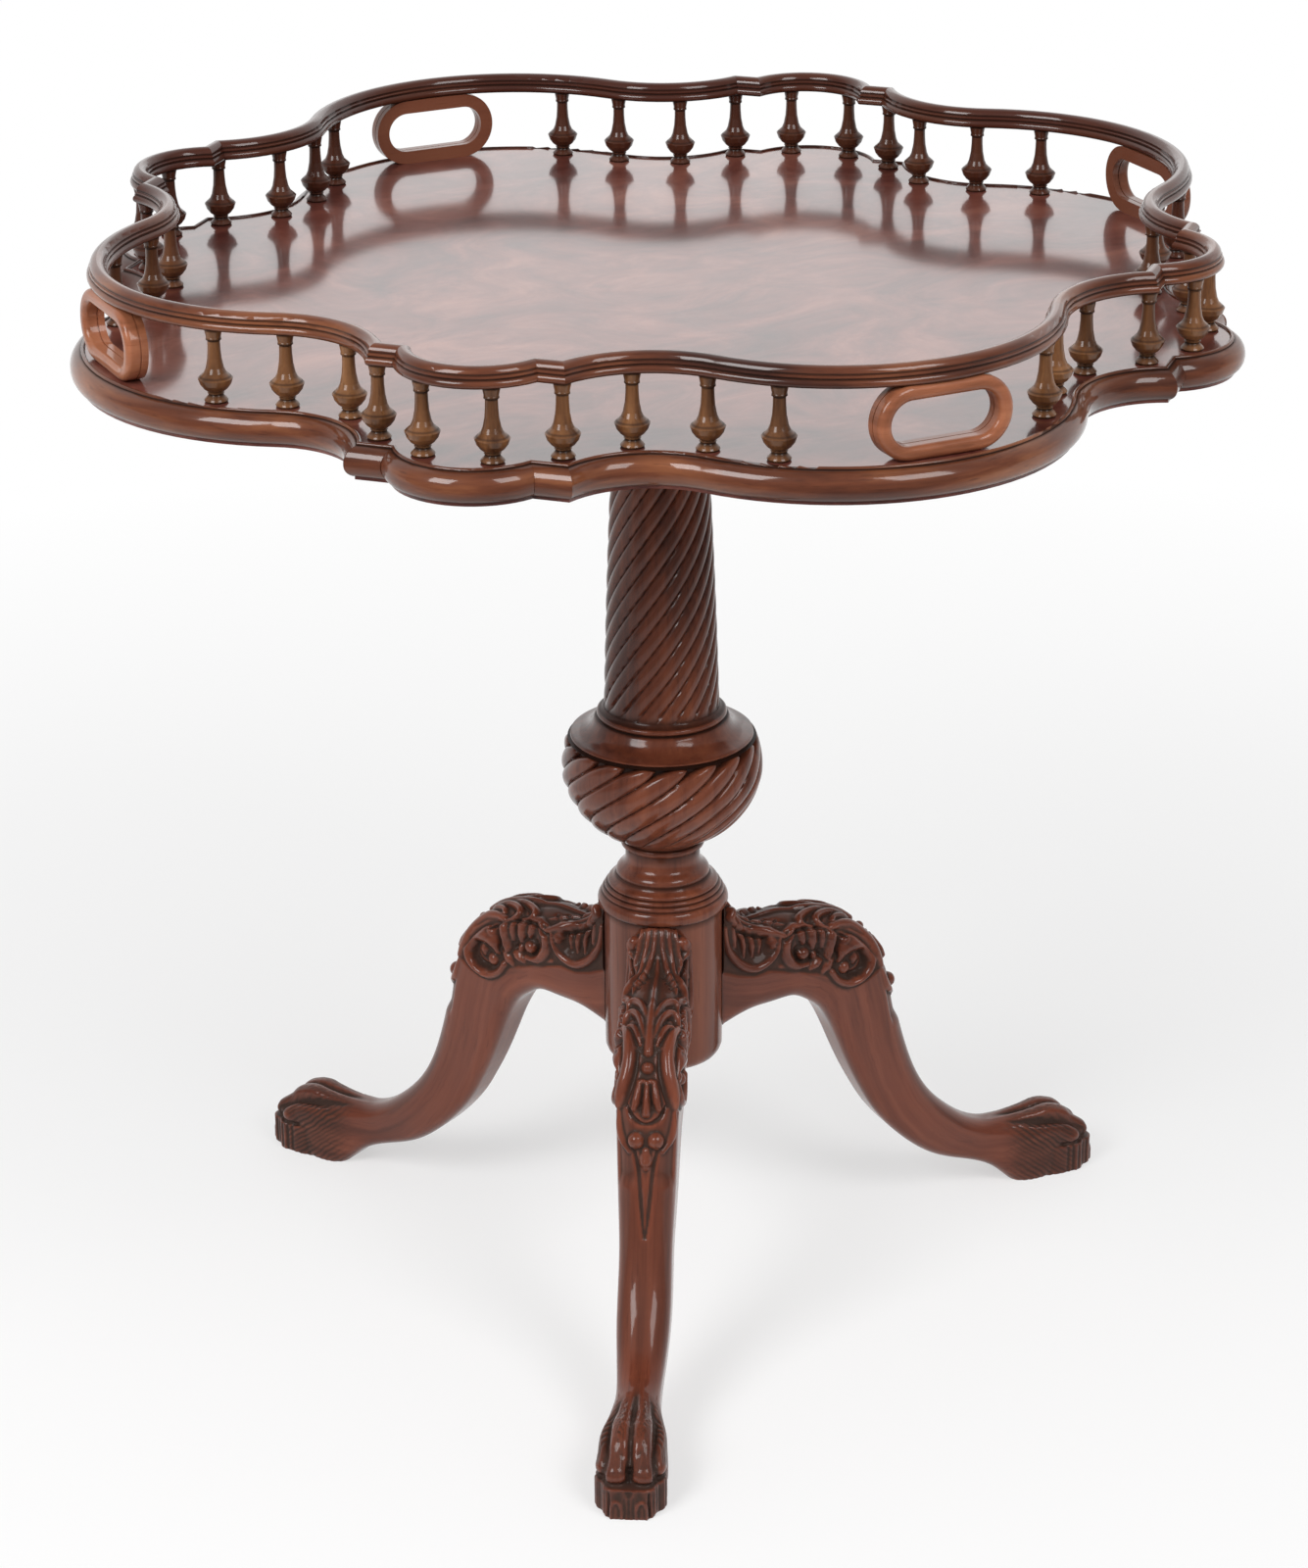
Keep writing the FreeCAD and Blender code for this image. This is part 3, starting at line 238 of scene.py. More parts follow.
# Tones of the polished wood: in the darkest streaks, the body colour, and the lightest streaks
DARK_RED = ((0.065, 0.0165, 0.0085), (0.142, 0.0390, 0.0195), (0.215, 0.0640, 0.0310))
LEG_RED = ((0.070, 0.0180, 0.0100), (0.150, 0.0400, 0.0210), (0.220, 0.0640, 0.0340))
SHAFT_RED = ((0.050, 0.0125, 0.0065), (0.128, 0.0335, 0.0150), (0.210, 0.0600, 0.0260))
RAIL_BROWN = ((0.038, 0.0100, 0.0055), (0.120, 0.0350, 0.0155), (0.260, 0.0920, 0.0370))
GOLDEN_BROWN = ((0.050, 0.0190, 0.0080), (0.145, 0.0600, 0.0235), (0.260, 0.1180, 0.0480))
LIGHT_RED = ((0.150, 0.0480, 0.0220), (0.310, 0.1080, 0.0520), (0.420, 0.1700, 0.0880))
PLAIN_BROWN = ((0.060, 0.0300, 0.0160), (0.160, 0.0850, 0.0450), (0.240, 0.1400, 0.0800))
# Way along X and Y towards the lit side of the tray, and the darker tones of the painted shade on the side
# away from the light
LIT_SIDE_WAY = (0.90, -0.44)
PAINTED_SHADE_RED = (0.055, 0.0145, 0.0085)
PAINTED_SHADE_HANDLE = (0.150, 0.0480, 0.0260)
# Dark wax left in the recesses together with painted shade there, and stains on the tray
WAX_AND_SHADE = (0.014, 0.007, 0.005)
DUSTY_WAX_AND_SHADE = (0.036, 0.023, 0.018)
STAIN = (0.03, 0.009, 0.006)
# Tones of the tray's figured board, each at its place between dark and light
FIGURE = ((0.36, (0.040, 0.0100, 0.0080)), (0.46, (0.100, 0.0270, 0.0200)), (0.54, (0.165, 0.0500, 0.0360)),
          (0.64, (0.270, 0.1000, 0.0700)))
FIGURE_TURN = (0, 0, 0.5)


def grained(shader, tones, stretch, turn):
    """Colour of straight-grained wood: slow tone changes and streaks."""
    slow = shader.noise(9.0, (1, 1, 0.35), turn, 2.0)
    streaks = shader.noise(95.0, stretch, turn, 4.0, 0.6, 0.25)
    tone = slow * 0.55 + streaks * 0.45
    return shader.ramp(tone, [(0.36, tones[0]), (0.50, tones[1]), (0.64, tones[2])])


def pore_lines(shader, stretch, turn):
    """Fine dark lines of the pores, from none to full."""
    fine = shader.noise(520.0, stretch, turn, 2.0, 0.5)
    return ((fine - 0.60) * 7.0).clamped()


def polished(shader, colour, height, roughness, coat, coat_roughness, coat_ior=1.42, bump=0.25, depth=0.0004):
    """French polished wood: the colour under a clear hard coat, over slight unevenness."""
    bumped = shader.node("ShaderNodeBump", {}, {"Strength": bump, "Distance": depth, "Height": height})
    sockets = {"Base Color": colour, "Roughness": roughness, "Normal": bumped, "Specular IOR Level": 0.08,
               "Coat Weight": coat, "Coat Roughness": coat_roughness, "Coat IOR": coat_ior}
    return shader.surface(shader.node("ShaderNodeBsdfPrincipled", {}, sockets))


def mahogany(name, tones, stretch, turn=(0, 0, 0), recess=None, coat=0.7, coat_roughness=0.12, along=None,
             wax_and_shade_tone=WAX_AND_SHADE, painted_shade_tone=None):
    """Polished mahogany with dark wax and painted shade in its recesses. The side away from the light may be
    given a darker tone of painted shade.
    """
    shader = Shader(name, along)
    colour = grained(shader, tones, stretch, turn)
    if painted_shade_tone is not None:
        # Painted shade: pieces on the far side of the table, away from the light, are mixed towards a darker
        # tone
        forward = shader.part("X") * LIT_SIDE_WAY[0] + shader.part("Y") * LIT_SIDE_WAY[1]
        colour = shader.mixed((0.75 - forward / 0.22).clamped() * 0.85, colour, painted_shade_tone)
    pores = pore_lines(shader, stretch, turn)
    colour = shader.mixed(pores * 0.45, colour, tones[0])
    patches = shader.noise(30.0, detail=5.0)
    if recess is not None:
        # Dark wax and painted shade in the recesses, darkest where a recess is deepest
        dirt_and_shade = (recess(shader) * (0.55 + patches * 0.9)).clamped()
        colour = shader.mixed(dirt_and_shade * 0.92, colour, wax_and_shade_tone)
    else:
        dirt_and_shade = patches * 0.1
    rough = 0.42 - patches * 0.14 + dirt_and_shade * 0.25
    height = pores * -0.5 + patches * 0.4
    return polished(shader, colour, height, rough, (1 - dirt_and_shade * 0.8) * coat, coat_roughness)


def figured_board(name):
    """Mottled, figured mahogany of the tray under a mirror polish."""
    shader = Shader(name)
    drift = shader.noise(5.0, (1, 0.8, 1), FIGURE_TURN, 3.0, 0.55, 0.8)
    mottle = shader.noise(15.0, (1, 0.75, 1), FIGURE_TURN, 4.0, 0.6, 1.6)
    flecks = shader.noise(120.0, (1, 0.16, 1), FIGURE_TURN, 3.0)
    colour = shader.ramp(drift * 0.48 + mottle * 0.46 + flecks * 0.06, FIGURE)
    marks = shader.noise(60.0, detail=6.0, roughness=0.7)
    stains = ((shader.noise(24.0, detail=2.0) - 0.66) * 9.0).clamped()
    colour = shader.mixed(stains * 0.45, colour, STAIN)
    height = marks * 0.6 + flecks * 0.4
    return polished(shader, colour, height, 0.30 + marks * 0.12, 1.0, 0.10, 1.48, 0.06, 0.0005)


# Heights at which wax and shade lie, each with its reach and strength: the quirks of the rail, the quirk
# beside the edge's bead and the top and foot of its torus, and the necks and fillets of the spindles
RAIL_LINES = ((0.7243, 0.0010, 1.0), (0.7270, 0.0009, 1.0), (0.7190, 0.0016, 1.0))
EDGE_LINES = ((0.6757, 0.0007, 1.0), (0.6752, 0.0030, 0.25), (0.6560, 0.0080, 0.7))
SPINDLE_LINES = ((0.6805, 0.0016, 1.0), (0.6762, 0.0012, 1.0), (0.7128, 0.0014, 1.0), (0.7190, 0.0012, 1.0),
                 (0.6912, 0.0008, 0.7))


def recess_at(lines):
    """A recess that a material works out from the height alone."""
    def recess(shader):
        height = shader.part("Z")
        first, *others = [height.near(level, reach) * strength for level, reach, strength in lines]
        return sum(others, first).clamped()
    return recess


def stored_recess(shader):
    """The recess kept on the piece's points."""
    return shader.attribute("recess")


def old_metal(name, bright, dull, metallic, roughness):
    """Metal with worn and dull places."""
    shader = Shader(name)
    patches = shader.noise(70.0, detail=6.0, roughness=0.65)
    scratches = shader.noise(600.0, (1, 0.06, 1), detail=2.0)
    mask = ((patches - 0.42) * 4.0).clamped()
    colour = shader.mixed(mask, bright, dull)
    height = patches + scratches * 0.4
    bumped = shader.node("ShaderNodeBump", {}, {"Strength": 0.2, "Distance": 0.0002, "Height": height})
    roughness = mask * 0.25 + roughness
    sockets = {"Base Color": colour, "Metallic": metallic, "Roughness": roughness, "Normal": bumped}
    return shader.surface(shader.node("ShaderNodeBsdfPrincipled", {}, sockets))


ALONG_Y = (math.pi / 2, 0, 0)
LONG_GRAIN = (1, 1, 0.05)
LEVEL_GRAIN = (0.12, 0.12, 1.0)
HANDLE_GRAIN = (0.1, 0.1, 1.0)

board_wood = figured_board("tray_board_mottled_mahogany")
rail_wood = mahogany("gallery_rail_mahogany", RAIL_BROWN, LEVEL_GRAIN, recess=recess_at(RAIL_LINES),
                     coat=0.95, coat_roughness=0.09, painted_shade_tone=PAINTED_SHADE_RED)
edge_wood = mahogany("edge_moulding_mahogany", RAIL_BROWN, LEVEL_GRAIN, recess=recess_at(EDGE_LINES),
                     coat=0.95, coat_roughness=0.09, painted_shade_tone=PAINTED_SHADE_RED)
spindle_wood = mahogany("spindle_golden_mahogany", GOLDEN_BROWN, LONG_GRAIN, recess=recess_at(SPINDLE_LINES),
                        painted_shade_tone=PAINTED_SHADE_RED)
handle_wood = mahogany("handle_light_mahogany", LIGHT_RED, HANDLE_GRAIN, painted_shade_tone=PAINTED_SHADE_HANDLE)
shaft_wood = mahogany("reeded_shaft_mahogany", SHAFT_RED, LONG_GRAIN, recess=stored_recess)
knop_wood = mahogany("gadrooned_knop_mahogany", DARK_RED, LONG_GRAIN, recess=stored_recess)
leg_wood = mahogany("carved_leg_mahogany", LEG_RED, LONG_GRAIN, recess=stored_recess, coat_roughness=0.10,
                    along="grain", wax_and_shade_tone=DUSTY_WAX_AND_SHADE)
inner_wood = mahogany("unpolished_mahogany", PLAIN_BROWN, LONG_GRAIN, ALONG_Y, coat=0.1, coat_roughness=0.4)
screw_iron = old_metal("hand_cut_screw_iron", (0.20, 0.18, 0.16), (0.09, 0.06, 0.045), 0.9, 0.42)
catch_brass = old_metal("worn_catch_brass", (0.62, 0.44, 0.18), (0.30, 0.19, 0.08), 1.0, 0.28)


def dress(node, material):
    """Gives a node of the frame its material."""
    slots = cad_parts[node].data.materials
    slots.clear()
    slots.append(material)


SPINDLES = 40
HANDLES = 4

dress("tray_board", board_wood)
dress("edge_moulding", edge_wood)
dress("gallery_rail", rail_wood)
for number in range(SPINDLES):
    dress("spindle_%02d" % (number + 1), spindle_wood)
for number in range(HANDLES):
    dress("handle_%d" % (number + 1), handle_wood)
for node in ("bearer_left", "bearer_right", "tilt_block"):
    dress(node, inner_wood)
dress("bearer_screws", screw_iron)
for node in ("catch_plate", "catch_screws", "catch_bolt", "strike_plate", "strike_screws"):
    dress(node, catch_brass)

# ------------ the pillar's three turned pieces

# Profiles are rows of radius and height in millimetres, from the foot up
TURN_STEPS = 324
POST_STEP = 6.0
TURNED_ANGLE = 40


def turning(name, profile):
    """A turned piece: its profile is drawn point by point and spun round the pillar's axis."""
    deselect_all()
    bpy.ops.mesh.primitive_plane_add(size=0.01, location=(0, 0, 0))
    piece = bpy.context.object
    piece.name = name
    bpy.ops.object.mode_set(mode="EDIT")
    bpy.ops.mesh.select_all(action="SELECT")
    bpy.ops.mesh.merge(type="CENTER")
    bpy.ops.transform.translate(value=Vector((profile[0][0] * MM, 0, profile[0][1] * MM)))
    for (radius, height), (next_radius, next_height) in zip(profile, profile[1:]):
        step = Vector(((next_radius - radius) * MM, 0, (next_height - height) * MM))
        bpy.ops.mesh.extrude_vertices_move(TRANSFORM_OT_translate={"value": step})
    bpy.ops.mesh.select_all(action="SELECT")
    bpy.ops.mesh.spin(steps=TURN_STEPS, angle=2 * math.pi, center=(0, 0, 0), axis=(0, 0, 1))
    bpy.ops.mesh.select_all(action="SELECT")
    bpy.ops.mesh.remove_doubles(threshold=SAME_PLACE)
    bpy.ops.mesh.normals_make_consistent(inside=False)
    bpy.ops.object.mode_set(mode="OBJECT")
    return piece


def evenly(corners, step):
    """A profile with points added so that none lie further apart than a step."""
    points = [corners[0]]
    for (radius, height), (next_radius, next_height) in zip(corners, corners[1:]):
        count = max(1, round(math.hypot(next_radius - radius, next_height - height) / step))
        for number in range(1, count + 1):
            share = number / count
            points.append((radius + (next_radius - radius) * share, height + (next_height - height) * share))
    return points


POST_PROFILE = [
    (0.0, 155.0), (20.0, 155.0), (30.0, 155.0), (32.8, 155.6), (35.4, 157.2), (37.2, 159.6), (38.3, 162.6),
    (38.4, 166.0), (38.4, 262.4), (40.6, 262.7), (41.5, 263.3), (42.2, 264.4), (42.5, 265.8), (42.5, 267.4),
    (42.2, 268.9), (41.6, 270.2), (40.8, 271.1), (39.8, 271.7), (39.3, 272.0), (39.4, 272.3), (39.7, 272.9),
    (39.7, 273.8), (39.2, 274.6), (38.2, 275.1), (37.5, 275.3), (37.6, 275.6), (37.9, 276.2), (37.8, 277.1),
    (37.2, 277.8), (36.2, 278.2), (35.5, 278.4), (35.6, 278.7), (35.9, 279.3), (35.7, 280.3), (35.0, 281.1),
    (33.8, 281.6), (32.6, 282.2), (31.7, 283.2), (31.0, 284.3), (30.4, 284.8), (30.0, 285.1), (30.3, 285.9),
    (30.4, 286.9), (30.0, 288.2), (29.2, 289.4), (28.1, 290.5), (26.8, 291.5), (25.7, 292.6), (24.9, 294.0),
    (24.4, 295.6), (24.2, 297.4), (24.2, 303.2), (24.5, 303.9), (25.6, 304.3), (26.7, 305.1), (27.2, 306.4),
    (27.1, 307.7), (26.4, 308.7), (25.7, 309.1), (25.8, 309.7), (26.6, 311.0), (27.8, 312.6), (28.2, 313.8),
    (20.0, 314.0), (0.0, 314.0)]
# Heights of the post's quirks and hollows, each with the reach of the dark wax and painted shade in it
POST_LINES = ((262.4, 2.4), (272.0, 1.0), (275.3, 0.9), (278.4, 0.9), (284.8, 2.6), (303.6, 1.5),
              (309.2, 1.2), (313.5, 1.6))

KNOP_FOOT = 313.5
KNOP_WIDEST = 358.0
KNOP_TOP = 379.0
BOWL_FOOT_RADIUS = 28.0
BOWL_RADIUS = 64.8
BOWL_TOP_LOSS = 2.8
BOWL_CURVE = 1.65
BOWL_STEP = 0.4
BOWL_ROWS = 168


def bowl_radius(height):
    """Radius of the gadrooned bowl, widest a little below its top."""
    if height >= KNOP_WIDEST:
        share = (height - KNOP_WIDEST) / (KNOP_TOP - KNOP_WIDEST)
        return BOWL_RADIUS - BOWL_TOP_LOSS * share * share
    below = (KNOP_WIDEST - height) / (KNOP_WIDEST - KNOP_FOOT)
    return BOWL_FOOT_RADIUS + (BOWL_RADIUS - BOWL_FOOT_RADIUS) * (1 - below ** BOWL_CURVE) ** (1 / BOWL_CURVE)


BOWL_HEIGHTS = [KNOP_FOOT + BOWL_STEP * number for number in range(BOWL_ROWS)]
BOWL_PROFILE = [(0.0, KNOP_FOOT - 0.1), (26.0, KNOP_FOOT - 0.1)]
BOWL_PROFILE += [(bowl_radius(height), height) for height in BOWL_HEIGHTS]
# Ground under the shoulder, the shoulder's cove, and the astragal under the shaft
BOWL_PROFILE += [(60.6, 380.5), (58.4, 380.6), (57.4, 381.4), (58.3, 381.8), (58.9, 382.5), (58.7, 383.2),
                 (57.8, 383.6), (56.2, 383.9), (54.4, 384.3), (52.6, 384.8), (50.8, 385.5), (49.0, 386.5),
                 (47.4, 387.6), (46.0, 389.2), (44.9, 391.0), (44.0, 392.8), (43.2, 394.4), (42.2, 395.1),
                 (40.9, 395.3), (40.6, 395.6), (41.3, 396.0), (41.7, 396.8), (41.8, 397.6), (41.5, 398.5),
                 (40.9, 399.1), (40.1, 399.4), (39.4, 399.6), (38.6, 400.2), (37.9, 401.0), (37.4, 401.9),
                 (0.0, 402.0)]


SHAFT_FOOT = 404.1
SHAFT_TOP = 599.7
SHAFT_SEAT = 401.6
SHAFT_FOOT_RADIUS = 37.0
SHAFT_TAPER = 8.0
SHAFT_SWELL = 0.8
SHAFT_ROWS = 250


def shaft_radius(share):
    """Radius of the shaft, tapered and slightly swelled."""
    return SHAFT_FOOT_RADIUS - SHAFT_TAPER * share + SHAFT_SWELL * 4 * share * (1 - share)


SHAFT_SHARES = [number / SHAFT_ROWS for number in range(SHAFT_ROWS + 1)]
SHAFT_PROFILE = [(0.0, SHAFT_SEAT), (37.3, SHAFT_SEAT), (36.9, 402.4), (36.8, 402.9)]
SHAFT_PROFILE += [(shaft_radius(share), SHAFT_FOOT - 1 + (SHAFT_TOP - SHAFT_FOOT + 1) * share)
                  for share in SHAFT_SHARES]
SHAFT_PROFILE += [(28.0, 600.3), (28.0, 617.7), (29.6, 618.4), (31.0, 620.7), (29.6, 623.0), (28.0, 623.7),
                  (0.0, 623.7)]

# A reed winds once round the shaft in its pitch, and a gadroon by its turn from the bowl's foot to its top
REEDS = 18
REED_PITCH = 289.0
REED_DEPTH = 2.9
GADROONS = 18
GADROON_TURN = math.radians(83.0)
GADROON_TOP = 380.35
# Gadroons' tips: height of their crowns, drop to the notches between them, how far each leans over as a
# share of its half width, how far below the rim it starts to round off, and by how much
TIP_TOP = 380.2
TIP_DROP = 7.0
TIP_LEAN = 0.2
TIP_ROUND = 4.0
TIP_SINK = 1.6
GROUND_RADIUS = 57.3


def round_way(points):
    """Radius and angle of points about the pillar's axis."""
    return np.hypot(points[:, 0], points[:, 1]), np.arctan2(points[:, 1], points[:, 0])


def lobes(angle, count, turn):
    """Height of rounded lobes round the axis: one on their crowns, nothing between them."""
    share = (angle - turn) * count / (2 * np.pi)
    across = np.abs(share - np.round(share)) * 2
    return np.sqrt(np.clip(1 - across ** 2, 0, 1))


def sink(piece, radius, depth):
    """Moves a piece's points toward the axis by a depth in millimetres."""
    points = points_of(piece)
    points[:, :2] *= (1 - depth * MM / np.maximum(radius, MM))[:, None]
    set_points(piece, points)


def carve_reeds(piece):
    """Reeds that wind up the shaft, with dark wax and painted shade between them, and painted shade at the
    shaft's foot where it sits in the knop.
    """
    points = points_of(piece)
    radius, angle = round_way(points)
    height = points[:, 2] / MM
    hollow = 1 - lobes(angle, REEDS, 2 * np.pi * (height - SHAFT_FOOT) / REED_PITCH)
    share = (height - SHAFT_FOOT) / (SHAFT_TOP - SHAFT_FOOT)
    full = smooth(-0.02, 0.02, share) * (1 - smooth(0.985, 1.0, share))
    sink(piece, radius, REED_DEPTH * hollow * full * (radius > 0.02))
    store(piece, "recess", smooth(0.55, 0.95, hollow) * full + 0.7 * smooth(5, 0, height - SHAFT_SEAT))


def carve_gadroons(piece):
    """Gadroons that wind up the bowl to free, rounded tips before the ground under the shoulder."""
    points = points_of(piece)
    radius, angle = round_way(points)
    height = points[:, 2] / MM
    # The bowl's outer face alone, without its foot's disc and the ground behind the tips
    outside = (radius > 0.0275) & ((height < 372) | (radius > 0.0614))
    bowl = (height >= KNOP_FOOT) & (height <= GADROON_TOP) & outside
    share = np.clip((height - KNOP_FOOT) / (KNOP_TOP - KNOP_FOOT), 0, 1)
    turn = GADROON_TURN * share
    crown = lobes(angle, GADROONS, turn)
    deep = 1.8 + 2.7 * np.sin(np.pi * np.minimum(share, 0.5))
    across = (angle - turn) * GADROONS / (2 * np.pi)
    across = (across - np.round(across)) * 2 - TIP_LEAN
    lean = np.where(across < 0, -across / (1 + TIP_LEAN), across / (1 - TIP_LEAN))
    rim = TIP_TOP - TIP_DROP * lean ** 2.6
    past = smooth(-0.2, 0.5, height - rim)
    over = np.clip((height - rim + TIP_ROUND) / TIP_ROUND, 0, 1)
    sunk = deep * (1 - crown ** 0.8) + TIP_SINK * (1 - np.sqrt(1 - over * over))
    ground = radius / MM - GROUND_RADIUS
    sink(piece, radius, np.where(bowl, sunk * (1 - past) + ground * past, 0.0))
    # Dark wax and painted shade in the grooves between the gadroons, on the ground behind their tips, in the
    # shoulder's quirks and on the top under the shaft
    dark = smooth(0.45, 0.95, 1 - crown) * (1 - past) + 0.9 * past
    lines = smooth(1.4, 0.0, np.abs(height - 395.3)) + smooth(382.4, 381.0, height) + 0.7 * (height > 399.4)
    store(piece, "recess", np.where(bowl, dark, lines))


def wax_and_shade_post(piece):
    """Dark wax and painted shade in the quirks and hollows of the post's mouldings."""
    height = points_of(piece)[:, 2] / MM
    dark = 0 * height
    for level, reach in POST_LINES:
        dark += smooth(reach, 0.0, np.abs(height - level))
    store(piece, "recess", 0.85 * dark)


def finished(piece, material, body, angle):
    """Smooths a piece's faces below an angle, and gives it its material and its place in the table."""
    pick(piece)
    bpy.ops.object.shade_smooth_by_angle(angle=math.radians(angle))
    piece.data.materials.clear()
    piece.data.materials.append(material)
    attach(piece, body)


post = turning("pillar_post", evenly(POST_PROFILE, POST_STEP))
wax_and_shade_post(post)
knop = turning("pillar_knop", BOWL_PROFILE)
carve_gadroons(knop)
shaft = turning("pillar_shaft", SHAFT_PROFILE)
carve_reeds(shaft)
for piece, material in ((post, knop_wood), (knop, knop_wood), (shaft, shaft_wood)):
    finished(piece, material, "base", TURNED_ANGLE)
    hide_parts("pillar")

# ------------ the carved legs

LEG_TURNS = (("leg_right", 330), ("leg_back", 90), ("leg_left", 210))
LEG_FACE = 0.00075
LEG_SHARE_KEPT = 0.62
CARVED_ANGLE = 60
# Depth at which a hollow is fully dark, and how many rows of points round it count as its surroundings
HOLLOW_DEPTH = 0.0005
HOLLOW_REACH = 10
# The claws' block: where its middle lies, its radius along the leg, its width as a share of that, its height
BLOCK_PLACE = (0.3005, 0, 0.0104)
BLOCK_RADIUS = 0.0275
BLOCK_WIDTH = 0.775
BLOCK_HEIGHT = 0.0208
# Distances out at which the paw's slope and the foot begin, and the claws' upper end
PAW_START = 216.0
FOOT_START = 240.0
CLAW_TOP = 21.0


def leg_copy(node, turn):
    """A copy of a leg of the frame, swung to lie along +X, its loose triangles merged."""
    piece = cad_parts[node].copy()
    piece.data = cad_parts[node].data.copy()
    piece.animation_data_clear()
    for key in list(piece.keys()):
        del piece[key]
    piece.parent = None
    bpy.context.scene.collection.objects.link(piece)
    piece.data.transform(Matrix.Rotation(math.radians(-turn), 4, "Z"))
    pick(piece)
    bpy.ops.object.mode_set(mode="EDIT")
    bpy.ops.mesh.select_all(action="SELECT")
    bpy.ops.mesh.remove_doubles(threshold=SAME_PLACE)
    bpy.ops.object.mode_set(mode="OBJECT")
    return piece


def remeshed(piece, size):
    """Even small faces all over a piece."""
    pick(piece)
    modifier = piece.modifiers.new("even faces", "REMESH")
    modifier.mode = "VOXEL"
    modifier.voxel_size = size
    bpy.ops.object.modifier_apply(modifier=modifier.name)


# Top line of the leg from the pillar to the toes: distance out and height
LEG_TOP = np.array([
    (36.5, 262.9), (38.6, 261.4), (42, 258.6), (46, 251), (54, 243), (67, 241), (88, 241.5), (108, 238.5),
    (132, 228), (150, 211), (162, 193), (168, 170), (174, 142), (183, 113), (195, 88), (209, 71), (224, 58),
    (241, 48.5), (259, 46), (276, 47), (290, 49), (302, 47), (311, 41), (318, 32)], float)


LINE_STEPS = 5


def drawn_line(points):
    """A smooth line through given points."""
    points = np.array(points, float)
    if len(points) < 3:
        return points
    padded = np.vstack([2 * points[0] - points[1], points, 2 * points[-1] - points[-2]])
    line = [points[0]]
    for number in range(len(points) - 1):
        before, start, end, after = padded[number:number + 4]
        bend = 2 * before - 5 * start + 4 * end - after
        twist = 3 * start - before - 3 * end + after
        for step in range(1, LINE_STEPS + 1):
            share = step / LINE_STEPS
            point = 2 * start + (end - before) * share + bend * share * share + twist * share ** 3
            line.append(0.5 * point)
    return np.array(line)


def from_line(places, line):
    """Distance of places from a line, how far along it the nearest point lies, and the line's length."""
    best = np.full(len(places), 1e9)
    along = np.zeros(len(places))
    run = 0.0
    for start, end in zip(line, line[1:]):
        way = end - start
        length = math.hypot(*way)
        share = np.clip(((places - start) @ way) / (length * length), 0, 1)
        gap = np.hypot(*(places - start - share[:, None] * way).T)
        closer = gap < best
        best[closer] = gap[closer]
        along[closer] = run + share[closer] * length
        run += length
    return best, along, run


class Relief:
    """Heights of a carving over places on a surface, cut stroke by stroke."""

    def __init__(self, places):
        self.places = places
        self.raised = np.zeros(len(places))
        self.sunk = np.zeros(len(places))

    def stroke(self, points, width, start, end):
        """Places under a stroke: their distance from its line as a share of its half width."""
        line = drawn_line(points)
        low = line.min(0) - width
        high = line.max(0) + width
        near = np.flatnonzero(((self.places > low) & (self.places < high)).all(1))
        gap, along, length = from_line(self.places[near], line)
        share = along / length
        return near, gap / (width * self.ends(share, start, end, 0.4)), share

    def ends(self, share, start, end, reach):
        """How much of a stroke is left along it, where it starts and ends smaller."""
        rising = start + (1 - start) * smooth(0, reach, share)
        return rising * (end + (1 - end) * smooth(0, reach, 1 - share))

    def roll(self, points, width, height, start=0.6, end=0.6):
        """A rounded ridge."""
        near, gap, share = self.stroke(points, width, start, end)
        ridge = height * np.clip(1 - gap * gap, 0, 1) ** 0.6 * self.ends(share, start, end, 0.3) ** 0.5
        self.raised[near] = np.maximum(self.raised[near], ridge)

    def furrow(self, points, width, depth, start=0.3, end=0.3):
        """A hollow groove."""
        near, gap, _ = self.stroke(points, width, start, end)
        self.sunk[near] = np.maximum(self.sunk[near], depth * np.clip(1 - gap * gap, 0, 1))

    def ball(self, place, radius, height):
        """A rounded boss."""
        gap = np.hypot(*(self.places - np.array(place, float)).T) / radius
        self.raised = np.maximum(self.raised, height * np.sqrt(np.clip(1 - gap * gap, 0, 1)))

    def height(self):
        return self.raised - self.sunk


